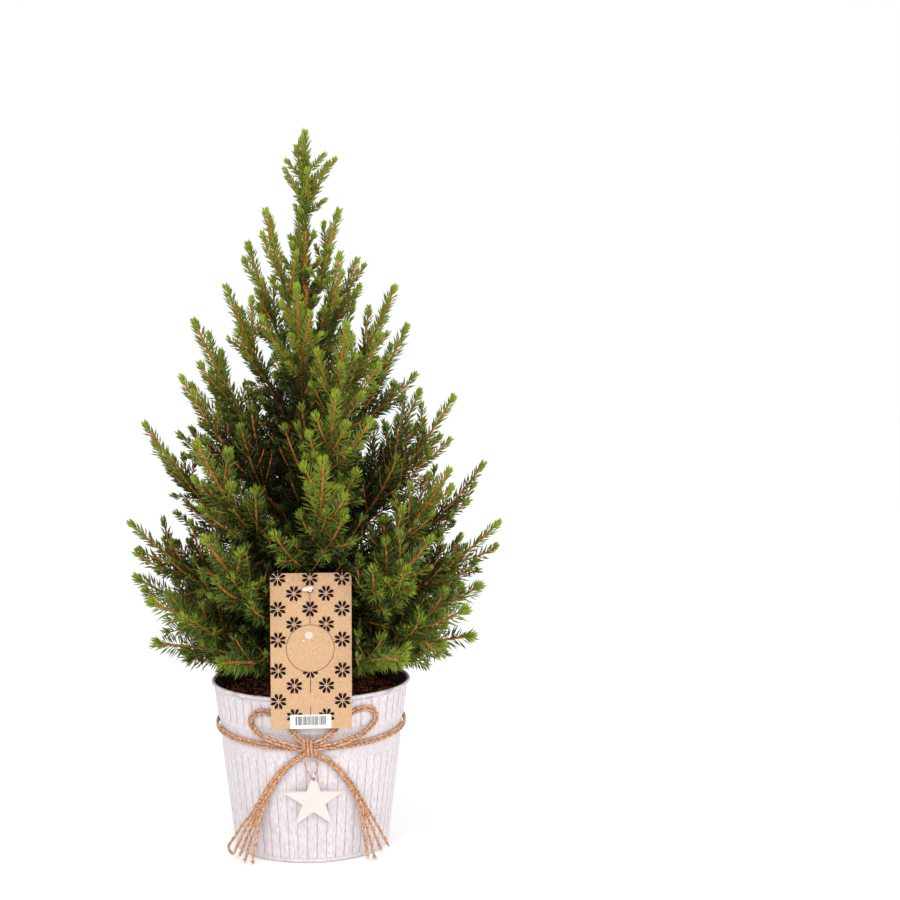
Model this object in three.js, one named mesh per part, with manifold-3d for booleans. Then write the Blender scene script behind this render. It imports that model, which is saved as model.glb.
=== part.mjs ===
// A small dwarf spruce, half a metre high, in a whitewashed zinc pot tied with a jute bow.
// Millimetres, +Z up. The origin is the centre of the pot's flat underside; the bow, the wooden star
// and the card tag face the front, -Y.
import * as THREE from 'three';
import { mergeVertices } from 'three/addons/utils/BufferGeometryUtils.js';
import Module from 'manifold-3d';

const wasm = await Module();
wasm.setup();

// Driving dimensions of the pot
const clear = 0.3;             // gap kept between neighbouring pieces
const potHeight = 120;
const potFootRadius = 54.3;
const potRimRadius = 71.5;     // outside of the rolled rim
const rimRoll = 2.2;           // how far the roll stands out from the wall
const wall = 1.6;
const rib = 0.9;               // how far the ribbed bands stand out from the plain ones
const footBand = 9;            // top of the plain band at the foot
const lowerRibsTop = 75.4;
const upperRibsFoot = 95.8;
const upperRibsTop = 114.5;
const potSides = 48;
const soilTop = 110;
const soilFlat = 16;           // radius of the level patch round the trunk

// Driving dimensions of the plant
const plantTop = 509;
const trunkTop = 440;
const trunkFootRadius = 6.4;
const trunkTipRadius = 1.6;
const flare = 3.6;             // how much wider the root flare is at the soil
const boughShare = 0.32;       // part of a lower branch that is bare bough
const boughFoot = 3.1;         // radius of a bough at its root and at its tip
const boughTip = 2.1;
const rootGap = 0.15;          // from the trunk's round outline to a root; its flats lie lower
const dressed = 66;            // outer length of a main stem that carries needles
const tuft = 3;                // needles reach this far past the tip of a stem
const toothStep = 21.5;          // length of one band of needles along a shoot
const toothLength = 16;        // on a long branch; shorter towards the top
const toothLean = 48;          // degrees between a needle and its shoot
const shootFoot = 1.9;         // radius of a shoot at its root and near its tip
const shootTip = 1.25;
const sideAngle = 34;          // degrees between a side shoot and its stem
const sideLift = 0.8;          // how strongly a side shoot turns upwards
const goldenTurn = 137.5;      // degrees round the stem from one side shoot to the next
const lowest = 124;            // foliage hangs no lower than this, and higher in front of the pot,
const lowFront = 0.2;          // by this much for each mm towards the front, so the rim stays in view
const lowArch = 0.06;          // rise of the lowest branches over a straight line, by their length
const spaceMargin = 1.2;       // half of the gap left between two masses of foliage
const firstSeed = 1;           // the masses' seeds count up from here

// Tiers of branches from the lowest up. Each has the reach and the height of its tips on the left
// and on the right, and the bearings, in degrees from +X, at which its branches leave the trunk.
const tiers = [
  { left: [112, 150], right: [118, 152], bearings: [190, 238, 302, 350, 48, 124], bough: false },
  { left: [132, 190], right: [131, 180], bearings: [167, 14, 215, 324, 82], bough: true },
  { left: [129, 236], right: [137, 234], bearings: [188, 352, 238, 306, 112], bough: true },
  { left: [121, 304], right: [128, 274], bearings: [172, 4, 232, 274, 318], bough: false },
  { left: [94, 339], right: [105, 324], bearings: [198, 348, 280, 136, 36], bough: false },
  { left: [83, 378], right: [72, 374], bearings: [176, 8, 290, 100], bough: false },
  { left: [60, 402], right: [62, 402], bearings: [190, 356, 262, 70], bough: false },
  { left: [45, 433], right: [36, 422], bearings: [168, 10, 306], bough: false },
  { left: [34, 455], right: [24, 457], bearings: [206, 24, 104], bough: false },
];

// Driving dimensions of the trimmings
const strand = 1.15;           // radius of one strand of twine
const ringHeight = 88.8;       // middle height of the twine round the pot
const ringTilt = 0.062;        // rise of the ring towards the back, mm per mm
const knotCentre = [-1.5, 86];
const starRadius = 21.5;
const starThickness = 3;
const starHeight = 47.5;
const starLean = 9;            // degrees that the star leans, its top outwards
const starHole = 1.3;
const tagWidth = 55;
const tagHeight = 107;
const tagFoot = 99.5;
const tagThickness = 0.8;
const tagFront = -72.8;
const pinHeight = 195;
const pinHole = 2.3;
const stakeRadius = 1.6;
const stakeFoot = [0, -56, 84];

const up = new THREE.Vector3(0, 0, 1);
const degrees = THREE.MathUtils.degToRad;
const vec = (x, y, z) => new THREE.Vector3(x, y, z);
const wallRadius = (z) => potFootRadius + z * (potRimRadius - rimRoll - potFootRadius) / potHeight;

const group = new THREE.Group();

// Finishes
const finish = (colour, roughness, metalness = 0) =>
  new THREE.MeshStandardMaterial({ color: colour, roughness, metalness });
const zinc = finish('#e2dad8', 0.6, 0.25);
const earth = finish('#2b170f', 1);
const bark = finish('#6b4a30', 0.9);
const jute = finish('#cd9b73', 0.95);
const whiteWood = finish('#fbf0ed', 0.7);
const kraft = finish('#f0c8a0', 0.85);
const plastic = finish('#f2efe9', 0.4);
const leaf = finish('#4f6427', 0.7);

// Closed bodies
function body(positions, faces) {
  const geometry = new THREE.BufferGeometry();
  const numbers = positions.flatMap((point) => point.toArray());
  geometry.setAttribute('position', new THREE.Float32BufferAttribute(numbers, 3));
  geometry.setIndex(faces.flat());
  return geometry;
}

function welded(geometry) {
  geometry.deleteAttribute('normal');
  geometry.deleteAttribute('uv');
  return mergeVertices(geometry, 1e-4);
}

function solid(geometry) {
  const whole = welded(geometry);
  return new wasm.Manifold(new wasm.Mesh({
    numProp: 3,
    vertProperties: new Float32Array(whole.attributes.position.array),
    triVerts: new Uint32Array(whole.index.array),
  }));
}

function shape(manifold) {
  const mesh = manifold.getMesh();
  const geometry = new THREE.BufferGeometry();
  geometry.setAttribute('position', new THREE.BufferAttribute(new Float32Array(mesh.vertProperties), 3));
  geometry.setIndex(new THREE.BufferAttribute(new Uint32Array(mesh.triVerts), 1));
  return geometry;
}

function add(name, geometry, material) {
  const mesh = new THREE.Mesh(geometry, material);
  mesh.name = name;
  group.add(mesh);
  return mesh;
}

// A body skinned over rings of points that run anticlockwise round its axis, closed by a flat cap
// at each end.
function skin(rings) {
  const count = rings[0].length;
  const faces = [];
  for (let i = 0; i + 1 < rings.length; i += 1) {
    for (let j = 0; j < count; j += 1) {
      const a = i * count + j;
      const b = i * count + (j + 1) % count;
      faces.push([a, b, b + count], [a, b + count, a + count]);
    }
  }
  const last = (rings.length - 1) * count;
  for (let j = 1; j + 1 < count; j += 1) {
    faces.push([0, j + 1, j], [last, last + j, last + j + 1]);
  }
  return body(rings.flat(), faces);
}

// Two directions square to a path at one point, kept from turning by a fixed guide direction
function across(tangent, guide) {
  const side = guide.clone().addScaledVector(tangent, -guide.dot(tangent)).normalize();
  return [side, tangent.clone().cross(side)];
}

function ring(centre, tangent, guide, section) {
  const [side, other] = across(tangent, guide);
  return section.map(([s, t]) => centre.clone().addScaledVector(side, s).addScaledVector(other, t));
}

function circle(radius, count, turn = 0) {
  return Array.from({ length: count }, (_, i) => {
    const angle = turn + 2 * Math.PI * i / count;
    return [radius * Math.cos(angle), radius * Math.sin(angle)];
  });
}

// A round limb along a curve, from radius to radius
function limb(curve, steps, sides, radiusAt, guide) {
  return skin(Array.from({ length: steps + 1 }, (_, i) => {
    const t = i / steps;
    return ring(curve.getPointAt(t), curve.getTangentAt(t), guide, circle(radiusAt(t), sides));
  }));
}

// The pot: one turned shell with an embossed foot, two ribbed bands and a rolled rim
const outside = [
  [potFootRadius - 0.8, 0], [potFootRadius + 0.9, 1.6], [wallRadius(4), 4],
  [wallRadius(footBand), footBand],
  [wallRadius(footBand) + rib, footBand + 1], [wallRadius(lowerRibsTop) + rib, lowerRibsTop - 1],
  [wallRadius(lowerRibsTop), lowerRibsTop], [wallRadius(upperRibsFoot), upperRibsFoot],
  [wallRadius(upperRibsFoot) + rib, upperRibsFoot + 1], [wallRadius(upperRibsTop) + rib, upperRibsTop],
];
const rolled = [
  [potRimRadius - 0.5, potHeight - 3.8], [potRimRadius, potHeight - 2],
  [potRimRadius - 1.2, potHeight], [potRimRadius - 3.2, potHeight - 0.4],
];
const inside = [[wallRadius(potHeight - 3) - wall, potHeight - 4], [wallRadius(wall) - wall, wall]];
const potProfile = [[0, 0], ...outside, ...rolled, ...inside, [0, wall]];
const turned = (profile, sides) => {
  const geometry = new THREE.LatheGeometry(profile.map(([r, z]) => new THREE.Vector2(r, z)), sides);
  return geometry.rotateX(Math.PI / 2);
};
add('pot', welded(turned(potProfile, potSides)), zinc);

// Numbers from a seed, the same on every run
function dice(seed) {
  let state = seed >>> 0;
  const roll = () => {
    state = (Math.imul(state, 1664525) + 1013904223) >>> 0;
    return state / 4294967296;
  };
  roll();
  return roll;
}

// The stake that carries the tag: up out of the soil, then forwards through the card
const stakeCurve = new THREE.CatmullRomCurve3([
  vec(...stakeFoot), vec(0, -59.5, 125), vec(-0.3, -63.5, 165), vec(-0.5, -66, pinHeight - 7),
  vec(-0.6, tagFront + 3.6, pinHeight - 0.6), vec(-0.6, tagFront + 0.4, pinHeight),
  vec(-0.6, tagFront - 3.8, pinHeight + 0.2),
]);
const stake = (radius) => limb(stakeCurve, 14, 5, () => radius, vec(1, 0, 0));
add('tag_stake', stake(stakeRadius), plastic);

// The soil: fills the pot to a little under the rim, lumpy on top, with a pocket for the stake
const soilRings = [soilFlat, 32, 46, wallRadius(soilTop) - wall - clear];
const soilProfile = [
  [0, wall + clear], [wallRadius(wall) - wall - clear - 0.3, wall + clear],
  ...soilRings.toReversed().map((r) => [r, soilTop]), [0, soilTop],
];
const soilShape = welded(turned(soilProfile, 30));
const lump = dice(7);
const soilPoints = soilShape.attributes.position;
for (let i = 0; i < soilPoints.count; i += 1) {
  const r = Math.hypot(soilPoints.getX(i), soilPoints.getY(i));
  const free = soilPoints.getZ(i) > soilTop - 1 && r > soilFlat + 1;
  if (free) soilPoints.setZ(i, soilTop + (lump() - 0.62) * 3.4);
}
add('soil', shape(solid(soilShape).subtract(solid(stake(stakeRadius + clear)))), earth);

// The trunk: whole from its flat cut on the soil to its tip, with a root flare and a slight wander
const trunkFoot = soilTop + clear;
const rise = (z) => (z - trunkFoot) / (trunkTop - trunkFoot);
const trunkAxis = (z) => {
  const t = rise(z);
  const fade = 1 - t;
  return vec(-2.5 * t + 3.2 * fade * Math.sin(7 * t), 2.4 * fade * Math.sin(5.2 * t + 0.4) - 0.9 * fade, z);
};
const trunkRadius = (z) => trunkTipRadius + (trunkFootRadius - trunkTipRadius) * (1 - rise(z)) ** 0.9
  + flare * Math.exp((trunkFoot - z) / 6);
const trunkHeights = [0, 4, 9, 16, 30, 60, 100, 145, 190, 235, 280, trunkTop - trunkFoot]
  .map((h) => trunkFoot + h);
add('trunk', skin(trunkHeights.map((z) =>
  circle(trunkRadius(z), 10).map(([x, y]) => trunkAxis(z).add(vec(x, y, 0))))), bark);

// The branches. A branch rises more steeply the higher its tip stands, and turns up towards its tip,
// the high ones less so. Only the lowest arch over the pot's rim and level out. Reach and height of a
// tip lie between the tier's left and right values.
const riseAngle = (tipHeight) => degrees(16 + 0.18 * (tipHeight - 150));
const mix = (a, b, share) => a + (b - a) * share;

function branchCurve(tier, level, bearing) {
  const share = (1 + Math.cos(degrees(bearing))) / 2;
  const reach = mix(tier.left[0], tier.right[0], share);
  const height = mix(tier.left[1], tier.right[1], share);
  const rootHeight = Math.max(trunkFoot + 12, height - reach * Math.tan(riseAngle(height)));
  const outward = vec(Math.cos(degrees(bearing)), Math.sin(degrees(bearing)), 0);
  const tip = outward.clone().multiplyScalar(reach).setZ(height);
  const root = trunkAxis(rootHeight);
  const slope = tip.clone().sub(root).normalize();
  tip.addScaledVector(slope, -tuft);
  const middle = root.clone().lerp(tip, 0.6);
  const sag = Math.min(0.1 * level - lowArch, 0.22 - 0.015 * level);
  middle.z -= sag * root.distanceTo(tip);
  const leaving = middle.clone().sub(root).normalize();
  const footRadius = tier.bough ? boughFoot : shootFoot;
  root.addScaledVector(outward, trunkRadius(rootHeight) + footRadius * Math.abs(leaving.z) + rootGap);
  return new THREE.QuadraticBezierCurve3(root, middle, tip);
}

const branches = tiers.flatMap((tier, level) => tier.bearings.map((bearing, i) => ({
  name: `${level + 1}_${i + 1}`,
  curve: branchCurve(tier, level, bearing),
  bough: tier.bough,
  seed: firstSeed + 100 * (level + 1) + i + 1,
})));
branches.push({
  name: 'leader',
  curve: new THREE.LineCurve3(trunkAxis(trunkTop).setZ(trunkTop + clear), vec(-2.2, 0, plantTop - 1)),
  bough: false,
  seed: firstSeed + 1001,
});

// How far a point is from a path given by its points
function distanceTo(path, point) {
  const line = new THREE.Line3();
  const near = new THREE.Vector3();
  let best = Infinity;
  for (let i = 0; i + 1 < path.length; i += 1) {
    line.set(path[i], path[i + 1]).closestPointToPoint(point, true, near);
    best = Math.min(best, near.distanceTo(point));
  }
  return best;
}

const boughRadius = (t) => mix(boughFoot, boughTip, t);
for (const branch of branches) {
  branch.path = branch.curve.getSpacedPoints(8);
  branch.tooth = toothLength * THREE.MathUtils.clamp(branch.curve.getLength() / 95, 0.68, 1);
  branch.start = branch.bough ? boughShare : 0;
  if (branch.bough) {
    const length = branch.curve.getLength();
    const end = boughShare - clear / length;
    branch.limb = [0, 0.5, 1].map((t) => branch.curve.getPointAt(t * end));
    add(`bough_${branch.name}`, skin([0, 0.5, 1].map((t) => ring(branch.curve.getPointAt(t * end),
      branch.curve.getTangentAt(t * end), up, circle(boughRadius(t), 6)))), bark);
  }
}
const limbs = branches.filter((branch) => branch.bough);
const stakePath = stakeCurve.getSpacedPoints(12);

// Whether a point of a branch's foliage lies in that branch's own space, clear of the trunk, the
// boughs, the pot, the stake and the room before and behind the tag
function free(point, branch, reach) {
  const axis = trunkAxis(Math.min(point.z, trunkTop));
  const fromTrunk = Math.hypot(point.x - axis.x, point.y - axis.y);
  if (point.z < trunkTop + clear && fromTrunk < trunkRadius(point.z) + reach) return false;
  if (point.z < potHeight + 3 && Math.hypot(point.x, point.y) < potRimRadius + 4) return false;
  if (point.z < lowest + reach + lowFront * Math.max(-point.y, 0)) return false;
  const besideTag = Math.abs(point.x) < tagWidth / 2 + 3;
  if (besideTag && point.z < tagFoot + tagHeight + 4 && point.y < tagFront + 4) return false;
  if (distanceTo(stakePath, point) < stakeRadius + reach) return false;
  if (limbs.some((other) => distanceTo(other.limb, point) < boughRadius(0) + reach)) return false;
  const own = distanceTo(branch.path, point) + 2 * spaceMargin;
  return branches.every((other) => other === branch || distanceTo(other.path, point) > own);
}

// A shoot: a slim three-sided core whose rings turn by a sixth from one to the next, with a needle
// drawn out of every face of it that has room. The first band, at the root, stays bare.
function shoot(path, branch, bareBands) {
  const length = path.getLength();
  const bands = Math.max(2, Math.round(length / toothStep));
  const positions = [];
  const faces = [];
  const guide = Math.abs(path.getTangentAt(0).z) > 0.9 ? vec(1, 0, 0) : up;
  const centres = Array.from({ length: bands + 1 }, (_, i) => path.getPointAt(i / bands));
  const tangents = centres.map((_, i) => path.getTangentAt(i / bands));
  for (let i = 0; i < bands; i += 1) {
    const radius = mix(shootFoot, shootTip, i / bands);
    positions.push(...ring(centres[i], tangents[i], guide, circle(radius, 3, i * Math.PI / 3)));
  }
  positions.push(centres[bands]);
  const drawOut = (corners, band) => {
    const [a, b, c] = corners.map((k) => positions[k]);
    const middle = a.clone().add(b).add(c).divideScalar(3);
    const outward = b.clone().sub(a).cross(c.clone().sub(a)).normalize();
    const lean = degrees(band === bands - 1 ? toothLean - 18 : toothLean);
    const along = tangents[band];
    const away = outward.addScaledVector(along, -outward.dot(along)).normalize();
    const tip = middle.clone().addScaledVector(along, branch.tooth * Math.cos(lean))
      .addScaledVector(away, branch.tooth * Math.sin(lean));
    const halfway = middle.clone().lerp(tip, 0.5);
    if (band < bareBands || !free(tip, branch, 1) || !free(halfway, branch, 1)) {
      faces.push(corners);
      return;
    }
    const k = positions.push(tip) - 1;
    faces.push([corners[0], corners[1], k], [corners[1], corners[2], k], [corners[2], corners[0], k]);
  };
  for (let i = 0; i < bands; i += 1) {
    for (let j = 0; j < 3; j += 1) {
      const a = 3 * i + j;
      const b = 3 * i + (j + 1) % 3;
      if (i === bands - 1) drawOut([a, b, 3 * bands], i);
      else {
        drawOut([a, b, a + 3], i);
        drawOut([a + 3, b, b + 3], i);
      }
    }
  }
  faces.push([0, 2, 1]);
  return body(positions, faces);
}

// Side shoots leave the stem by turns, at equal steps, shorter towards the tip. Each is cut short
// where it would leave its mass's space, and left out where too little of it stays.
function sideShoots(branch) {
  const roll = dice(branch.seed);
  const length = branch.curve.getLength();
  const bareEnd = mix(32, 44, roll());
  const first = branch.start * length + (branch.bough ? 7 : 16);
  const last = length - bareEnd;
  const count = last < first ? 0 : Math.min(5, 1 + Math.floor((last - first) / 14));
  let turn = 360 * roll();
  return Array.from({ length: count }, (_, i) => {
    const at = (count === 1 ? first : mix(first, last, i / (count - 1))) + 5 * (roll() - 0.5);
    turn += goldenTurn + 30 * (roll() - 0.5);
    const t = at / length;
    const root = branch.curve.getPointAt(t);
    const along = branch.curve.getTangentAt(t);
    const [side, other] = across(along, Math.abs(along.z) > 0.9 ? vec(1, 0, 0) : up);
    const away = side.multiplyScalar(Math.sin(degrees(turn)) * 0.8)
      .addScaledVector(other, Math.cos(degrees(turn))).normalize();
    const lean = degrees(sideAngle + 10 * (roll() - 0.5));
    const heading = along.clone().multiplyScalar(Math.cos(lean)).addScaledVector(away, Math.sin(lean));
    const reach = Math.min(74, 0.64 * (length - at) + 5) * mix(0.85, 1.1, roll());
    const middle = root.clone().addScaledVector(heading, reach * 0.5);
    heading.z += sideLift;
    const end = middle.clone().addScaledVector(heading.normalize(), reach * 0.5);
    const path = new THREE.QuadraticBezierCurve3(root, middle, end);
    const steps = path.getSpacedPoints(10);
    const inSpace = steps.findIndex((point, k) => k > 2 && !free(point, branch, 2.6));
    if (inSpace === -1) return path;
    const cut = steps[inSpace - 1];
    return new THREE.QuadraticBezierCurve3(root, root.clone().lerp(cut, 0.5), cut);
  }).filter((path) => path.getLength() > 20);
}

function foliage(branch) {
  const length = branch.curve.getLength();
  const start = branch.start;
  const stem = start === 0 ? branch.curve : new THREE.CatmullRomCurve3(
    [0, 0.33, 0.67, 1].map((t) => branch.curve.getPointAt(mix(start, 1, t))));
  const shoots = sideShoots(branch);
  const stemLength = length * (1 - start);
  const bare = branch.name === 'leader' ? 0 : Math.max(1, Math.floor((stemLength - dressed) / toothStep));
  let mass = solid(shoot(stem, branch, bare));
  for (const path of shoots) mass = mass.add(solid(shoot(path, branch, 1)));
  return shape(mass);
}
for (const branch of branches) add(`foliage_${branch.name}`, foliage(branch), leaf);

// Twine, tied round the pot in two turns and made up into a bow of doubled loops
const ringRadius = wallRadius(ringHeight) + clear + 0.6 + strand;
const ringSection = [
  [-strand, -2.3], [0.6, -1.9], [strand, -1.15], [0.5, 0], [strand, 1.15], [0.6, 1.9], [-strand, 2.3],
].map(([r, z]) => [ringRadius + r, z]);
const twineRing = welded(turned([...ringSection, ringSection[0]], 36));
const tilt = new THREE.Matrix4().set(1, 0, 0, 0, 0, 1, 0, 0.5, 0, ringTilt, 1, ringHeight, 0, 0, 0, 1);
add('twine_ring', twineRing.applyMatrix4(tilt), jute);

// A point on the front of the pot, standing off its wall
function onFront(x, z, off) {
  return vec(x, -Math.sqrt((wallRadius(z) + rib + off) ** 2 - x * x), z);
}
const loopOff = (z) => mix(3 * strand + 0.6, strand + 0.35, THREE.MathUtils.clamp((z - 92) / 8, 0, 1));
const doubled = [
  [-2.3, -0.6], [-2.3, 0.6], [-1.15, 1.15], [0, 0.6], [1.15, 1.15], [2.3, 0.6], [2.3, -0.6], [1.15, -1.15],
  [0, -0.6], [-1.15, -1.15],
];

// One loop of the bow, by the x and z of its middle line from the knot round and back
function bowLoop(stops) {
  const curve = new THREE.CatmullRomCurve3(stops.map(([x, z]) => onFront(x, z, loopOff(z))));
  const steps = 15;
  return skin(Array.from({ length: steps + 1 }, (_, i) => {
    const point = curve.getPointAt(i / steps);
    const outward = vec(point.x, point.y, 0).normalize();
    const tangent = curve.getTangentAt(i / steps);
    return ring(point, tangent, outward, doubled.map(([s, t]) => [t, s]));
  }));
}
const leftStops = [
  [-2.5, 85], [-9, 85.4], [-17, 87.2], [-28, 90.2], [-37.5, 94.5], [-42.3, 101], [-38.5, 107.5], [-30, 109.2],
  [-21.5, 105.5], [-14, 97.5], [-7, 90.5], [-2.5, 88],
];
const rightStops = [
  [-0.5, 85], [5, 85.4], [14.5, 86.6], [26, 89.6], [37, 93.8], [44.2, 100], [43.2, 107.5], [35, 110.2], [26.5, 107.4],
  [18.8, 100.5], [12, 93.5], [5, 89.6], [-0.5, 88],
];

// The knot: a rounded barrel in front of the ring, from which loops and tails come
const knotSize = [4.6, 2.6, 7.4];
const knotDepth = ringRadius + strand + clear + knotSize[1] - 0.5;
const knotShape = welded(new THREE.SphereGeometry(1, 10, 7).rotateX(Math.PI / 2));
knotShape.applyMatrix4(new THREE.Matrix4().makeScale(...knotSize)
  .setPosition(knotCentre[0], -knotDepth, knotCentre[1]));

// The tails: a bundle that leaves the knot and parts into loose strands half-way down
function tail(stops, ends) {
  const bundle = new THREE.CatmullRomCurve3(stops.map(([x, z, off]) => onFront(x, z, off)));
  const side = Math.sign(stops.at(-1)[0]);
  const flat = circle(1, 8).map(([s, t]) => [2.6 * s, 1.4 * t]);
  let tied = solid(skin(Array.from({ length: 6 }, (_, i) => {
    const t = i / 5;
    return ring(bundle.getPointAt(t), bundle.getTangentAt(t), vec(1, 0, side * 0.6).normalize(), flat);
  })));
  const parting = bundle.getPointAt(0.88);
  const heading = bundle.getTangentAt(0.9);
  ends.forEach(([x, z, depth]) => {
    const end = vec(x, -depth, z);
    const middle = parting.clone().addScaledVector(heading, 0.45 * parting.distanceTo(end)).lerp(end, 0.12);
    const curve = new THREE.QuadraticBezierCurve3(parting, middle, end);
    tied = tied.add(solid(limb(curve, 3, 4, () => strand, vec(0, 1, 0))));
  });
  return tied;
}
const leftTail = [[-2.6, 83, 4.2], [-7, 79, 2.6], [-14, 74, 1.8], [-21.5, 66, 2], [-29, 55, 3], [-35, 44, 4.6]];
const leftEnds = [[-58.6, 10, 42], [-54, 7.6, 45.5], [-50, 6, 48.5], [-46.6, 2.8, 51], [-41.5, 2, 54.5]];
const rightTail = [[-0.4, 83, 4.2], [4, 79.4, 2.6], [11, 75.5, 1.8], [19, 67, 2], [27, 56, 3], [33, 45, 4.6]];
const rightEnds = [[38.3, 4.4, 54.5], [43, 2.9, 52], [47.6, 7.4, 49], [52.6, 9.8, 46]];
const bow = solid(knotShape).add(solid(bowLoop(leftStops))).add(solid(bowLoop(rightStops)))
  .add(tail(leftTail, leftEnds)).add(tail(rightTail, rightEnds));
add('twine_bow', shape(bow), jute);

// The star: a five-pointed slip of wood, hung by a thin cord through a hole in its top point
const starInner = starRadius * 0.385;
const starOutline = new THREE.Shape(Array.from({ length: 10 }, (_, i) => {
  const r = i % 2 === 0 ? starRadius : starInner;
  const angle = Math.PI / 2 + i * Math.PI / 5;
  return new THREE.Vector2(r * Math.cos(angle), r * Math.sin(angle));
}));
const holeHeight = starRadius * 0.76;
starOutline.holes.push(new THREE.Path().absarc(0, holeHeight, starHole, 0, 2 * Math.PI, true));
const starBack = wallRadius(starHeight) + rib + 1.2;
const starPlace = new THREE.Matrix4().makeTranslation(1, -starBack, starHeight)
  .multiply(new THREE.Matrix4().makeRotationX(Math.PI / 2 + degrees(starLean)));
const starShape = new THREE.ExtrudeGeometry(starOutline, {
  depth: starThickness, bevelEnabled: false, curveSegments: 5,
});
add('star', welded(starShape.applyMatrix4(starPlace)), whiteWood);

// The cord of the star: down before it, back through its hole and up behind it
const starPoint = (x, y, z) => vec(x, y, z).applyMatrix4(starPlace);
const cordRadius = 0.5;
const cordCurve = new THREE.CatmullRomCurve3([
  vec(-4, -69.2, 78.6), vec(-4.6, -68.6, 73.5), starPoint(-2.4, holeHeight + 2.6, starThickness + 1.1),
  starPoint(-0.3, holeHeight + 0.2, starThickness + 0.7), starPoint(0, holeHeight, starThickness / 2),
  starPoint(0.4, holeHeight + 0.4, -0.85), starPoint(2, holeHeight + 4, -0.85),
  vec(3.8, -67.2, 73.5), vec(1.6, -69.2, 78.6),
]);
add('star_cord', limb(cordCurve, 18, 4, () => cordRadius, vec(0.2, 0.1, 1).normalize()), jute);

// The tag: a card with rounded top corners, hung on the stake's pin
const corner = 3;
const half = tagWidth / 2;
const card = new THREE.Shape();
card.moveTo(-half, 0);
card.lineTo(half, 0);
card.lineTo(half, tagHeight - corner);
card.absarc(half - corner, tagHeight - corner, corner, 0, Math.PI / 2, false);
card.lineTo(-half + corner, tagHeight);
card.absarc(-half + corner, tagHeight - corner, corner, Math.PI / 2, Math.PI, false);
card.closePath();
card.holes.push(new THREE.Path().absarc(-0.6, pinHeight - tagFoot, pinHole, 0, 2 * Math.PI, true));
const cardShape = new THREE.ExtrudeGeometry(card, {
  depth: tagThickness, bevelEnabled: false, curveSegments: 6,
});
cardShape.rotateX(Math.PI / 2).translate(0, tagFront + tagThickness, tagFoot);
add('tag', welded(cardShape), kraft);

export default group;
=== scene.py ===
# %% [markdown]
# # A potted dwarf spruce, dressed for the shop
#
# A half-metre spruce stands in a whitewashed zinc pot, tied with jute twine in a bow, with a wooden
# star and a card tag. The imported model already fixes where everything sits, so this lesson only
# makes surfaces: needles, bark, soil, zinc, twine, card. Each piece is built in metres, in place.

# %% Load the frame
import math

import bmesh
import bpy
import numpy as np
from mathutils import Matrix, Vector, noise


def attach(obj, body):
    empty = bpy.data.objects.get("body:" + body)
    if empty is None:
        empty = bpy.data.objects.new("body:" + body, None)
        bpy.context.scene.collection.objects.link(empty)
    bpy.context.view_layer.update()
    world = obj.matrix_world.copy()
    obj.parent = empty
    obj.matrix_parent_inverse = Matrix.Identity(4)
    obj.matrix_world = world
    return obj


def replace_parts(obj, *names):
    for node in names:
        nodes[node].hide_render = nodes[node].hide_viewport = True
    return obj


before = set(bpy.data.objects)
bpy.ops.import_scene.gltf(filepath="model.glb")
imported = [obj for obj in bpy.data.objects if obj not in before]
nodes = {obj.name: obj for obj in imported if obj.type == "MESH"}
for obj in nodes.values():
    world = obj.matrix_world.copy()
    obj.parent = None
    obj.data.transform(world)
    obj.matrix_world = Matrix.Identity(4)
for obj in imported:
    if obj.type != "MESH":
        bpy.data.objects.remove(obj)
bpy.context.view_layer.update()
MM = 0.001
print("loaded", len(nodes), "nodes")

# %% [markdown]
# ## Camera, light and floor
#
# The picture was taken from 1.2 m away, at the height of the upper crown, with a longish lens. The
# camera could be aimed with a Track To constraint, but two angles worked out from the view say more:
# the plant stands left of the middle, so the camera is turned right, and it looks slightly down.

# %% Camera
scene = bpy.context.scene
FRAME_PX = 900
FOCAL_PX = 1675
PLANT_COLUMN_PX = 309.5
SENSOR_MM = 36
CAMERA_PLACE = Vector((0, -1.2, 0.375))
LOOK_DOWN = math.radians(4.33)

turn_right = math.atan((FRAME_PX / 2 - PLANT_COLUMN_PX) / FOCAL_PX)
camera_data = bpy.data.cameras.new("camera")
camera_data.sensor_width = SENSOR_MM
camera_data.lens = SENSOR_MM * FOCAL_PX / FRAME_PX
camera_data.clip_start = 0.01
camera = bpy.data.objects.new("camera", camera_data)
camera.location = CAMERA_PLACE
camera.rotation_euler = (math.pi / 2 - LOOK_DOWN, 0, -turn_right)
scene.collection.objects.link(camera)
scene.camera = camera
print("lens", round(camera_data.lens, 1), "mm, turned right by", round(math.degrees(turn_right), 2))

# %% [markdown]
# The studio is almost shadowless: a white room that lights from all round, and three soft lamps. The
# key stands at the upper left, the fill at the right, and the front lamp reaches into the shade
# between the branches. An HDR image could give the same, but a plain white world needs no file. The
# Standard view transform keeps white paper white.

# %% Light
CROWN_MIDDLE = Vector((0, 0, 0.3))
world = bpy.data.worlds.new("white_room")
scene.world = world
world.use_nodes = True
room = world.node_tree.nodes["Background"]
room.inputs["Color"].default_value = (1.0, 1.0, 1.0, 1)
room.inputs["Strength"].default_value = 1.0
scene.view_settings.view_transform = "Standard"


def soft_lamp(name, place, size, watts):
    """A square lamp that looks at the middle of the crown."""
    data = bpy.data.lights.new(name, "AREA")
    data.size = size
    data.energy = watts
    lamp = bpy.data.objects.new(name, data)
    lamp.location = place
    lamp.rotation_euler = (CROWN_MIDDLE - Vector(place)).to_track_quat("-Z", "Y").to_euler()
    scene.collection.objects.link(lamp)


soft_lamp("key", (-0.9, -1.3, 1.5), size=0.6, watts=9.6)
soft_lamp("fill", (1.3, -1.0, 0.7), size=0.8, watts=7)
soft_lamp("front", (0.15, -1.7, 0.95), size=0.5, watts=6)
print("three lamps in a white room")

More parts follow.
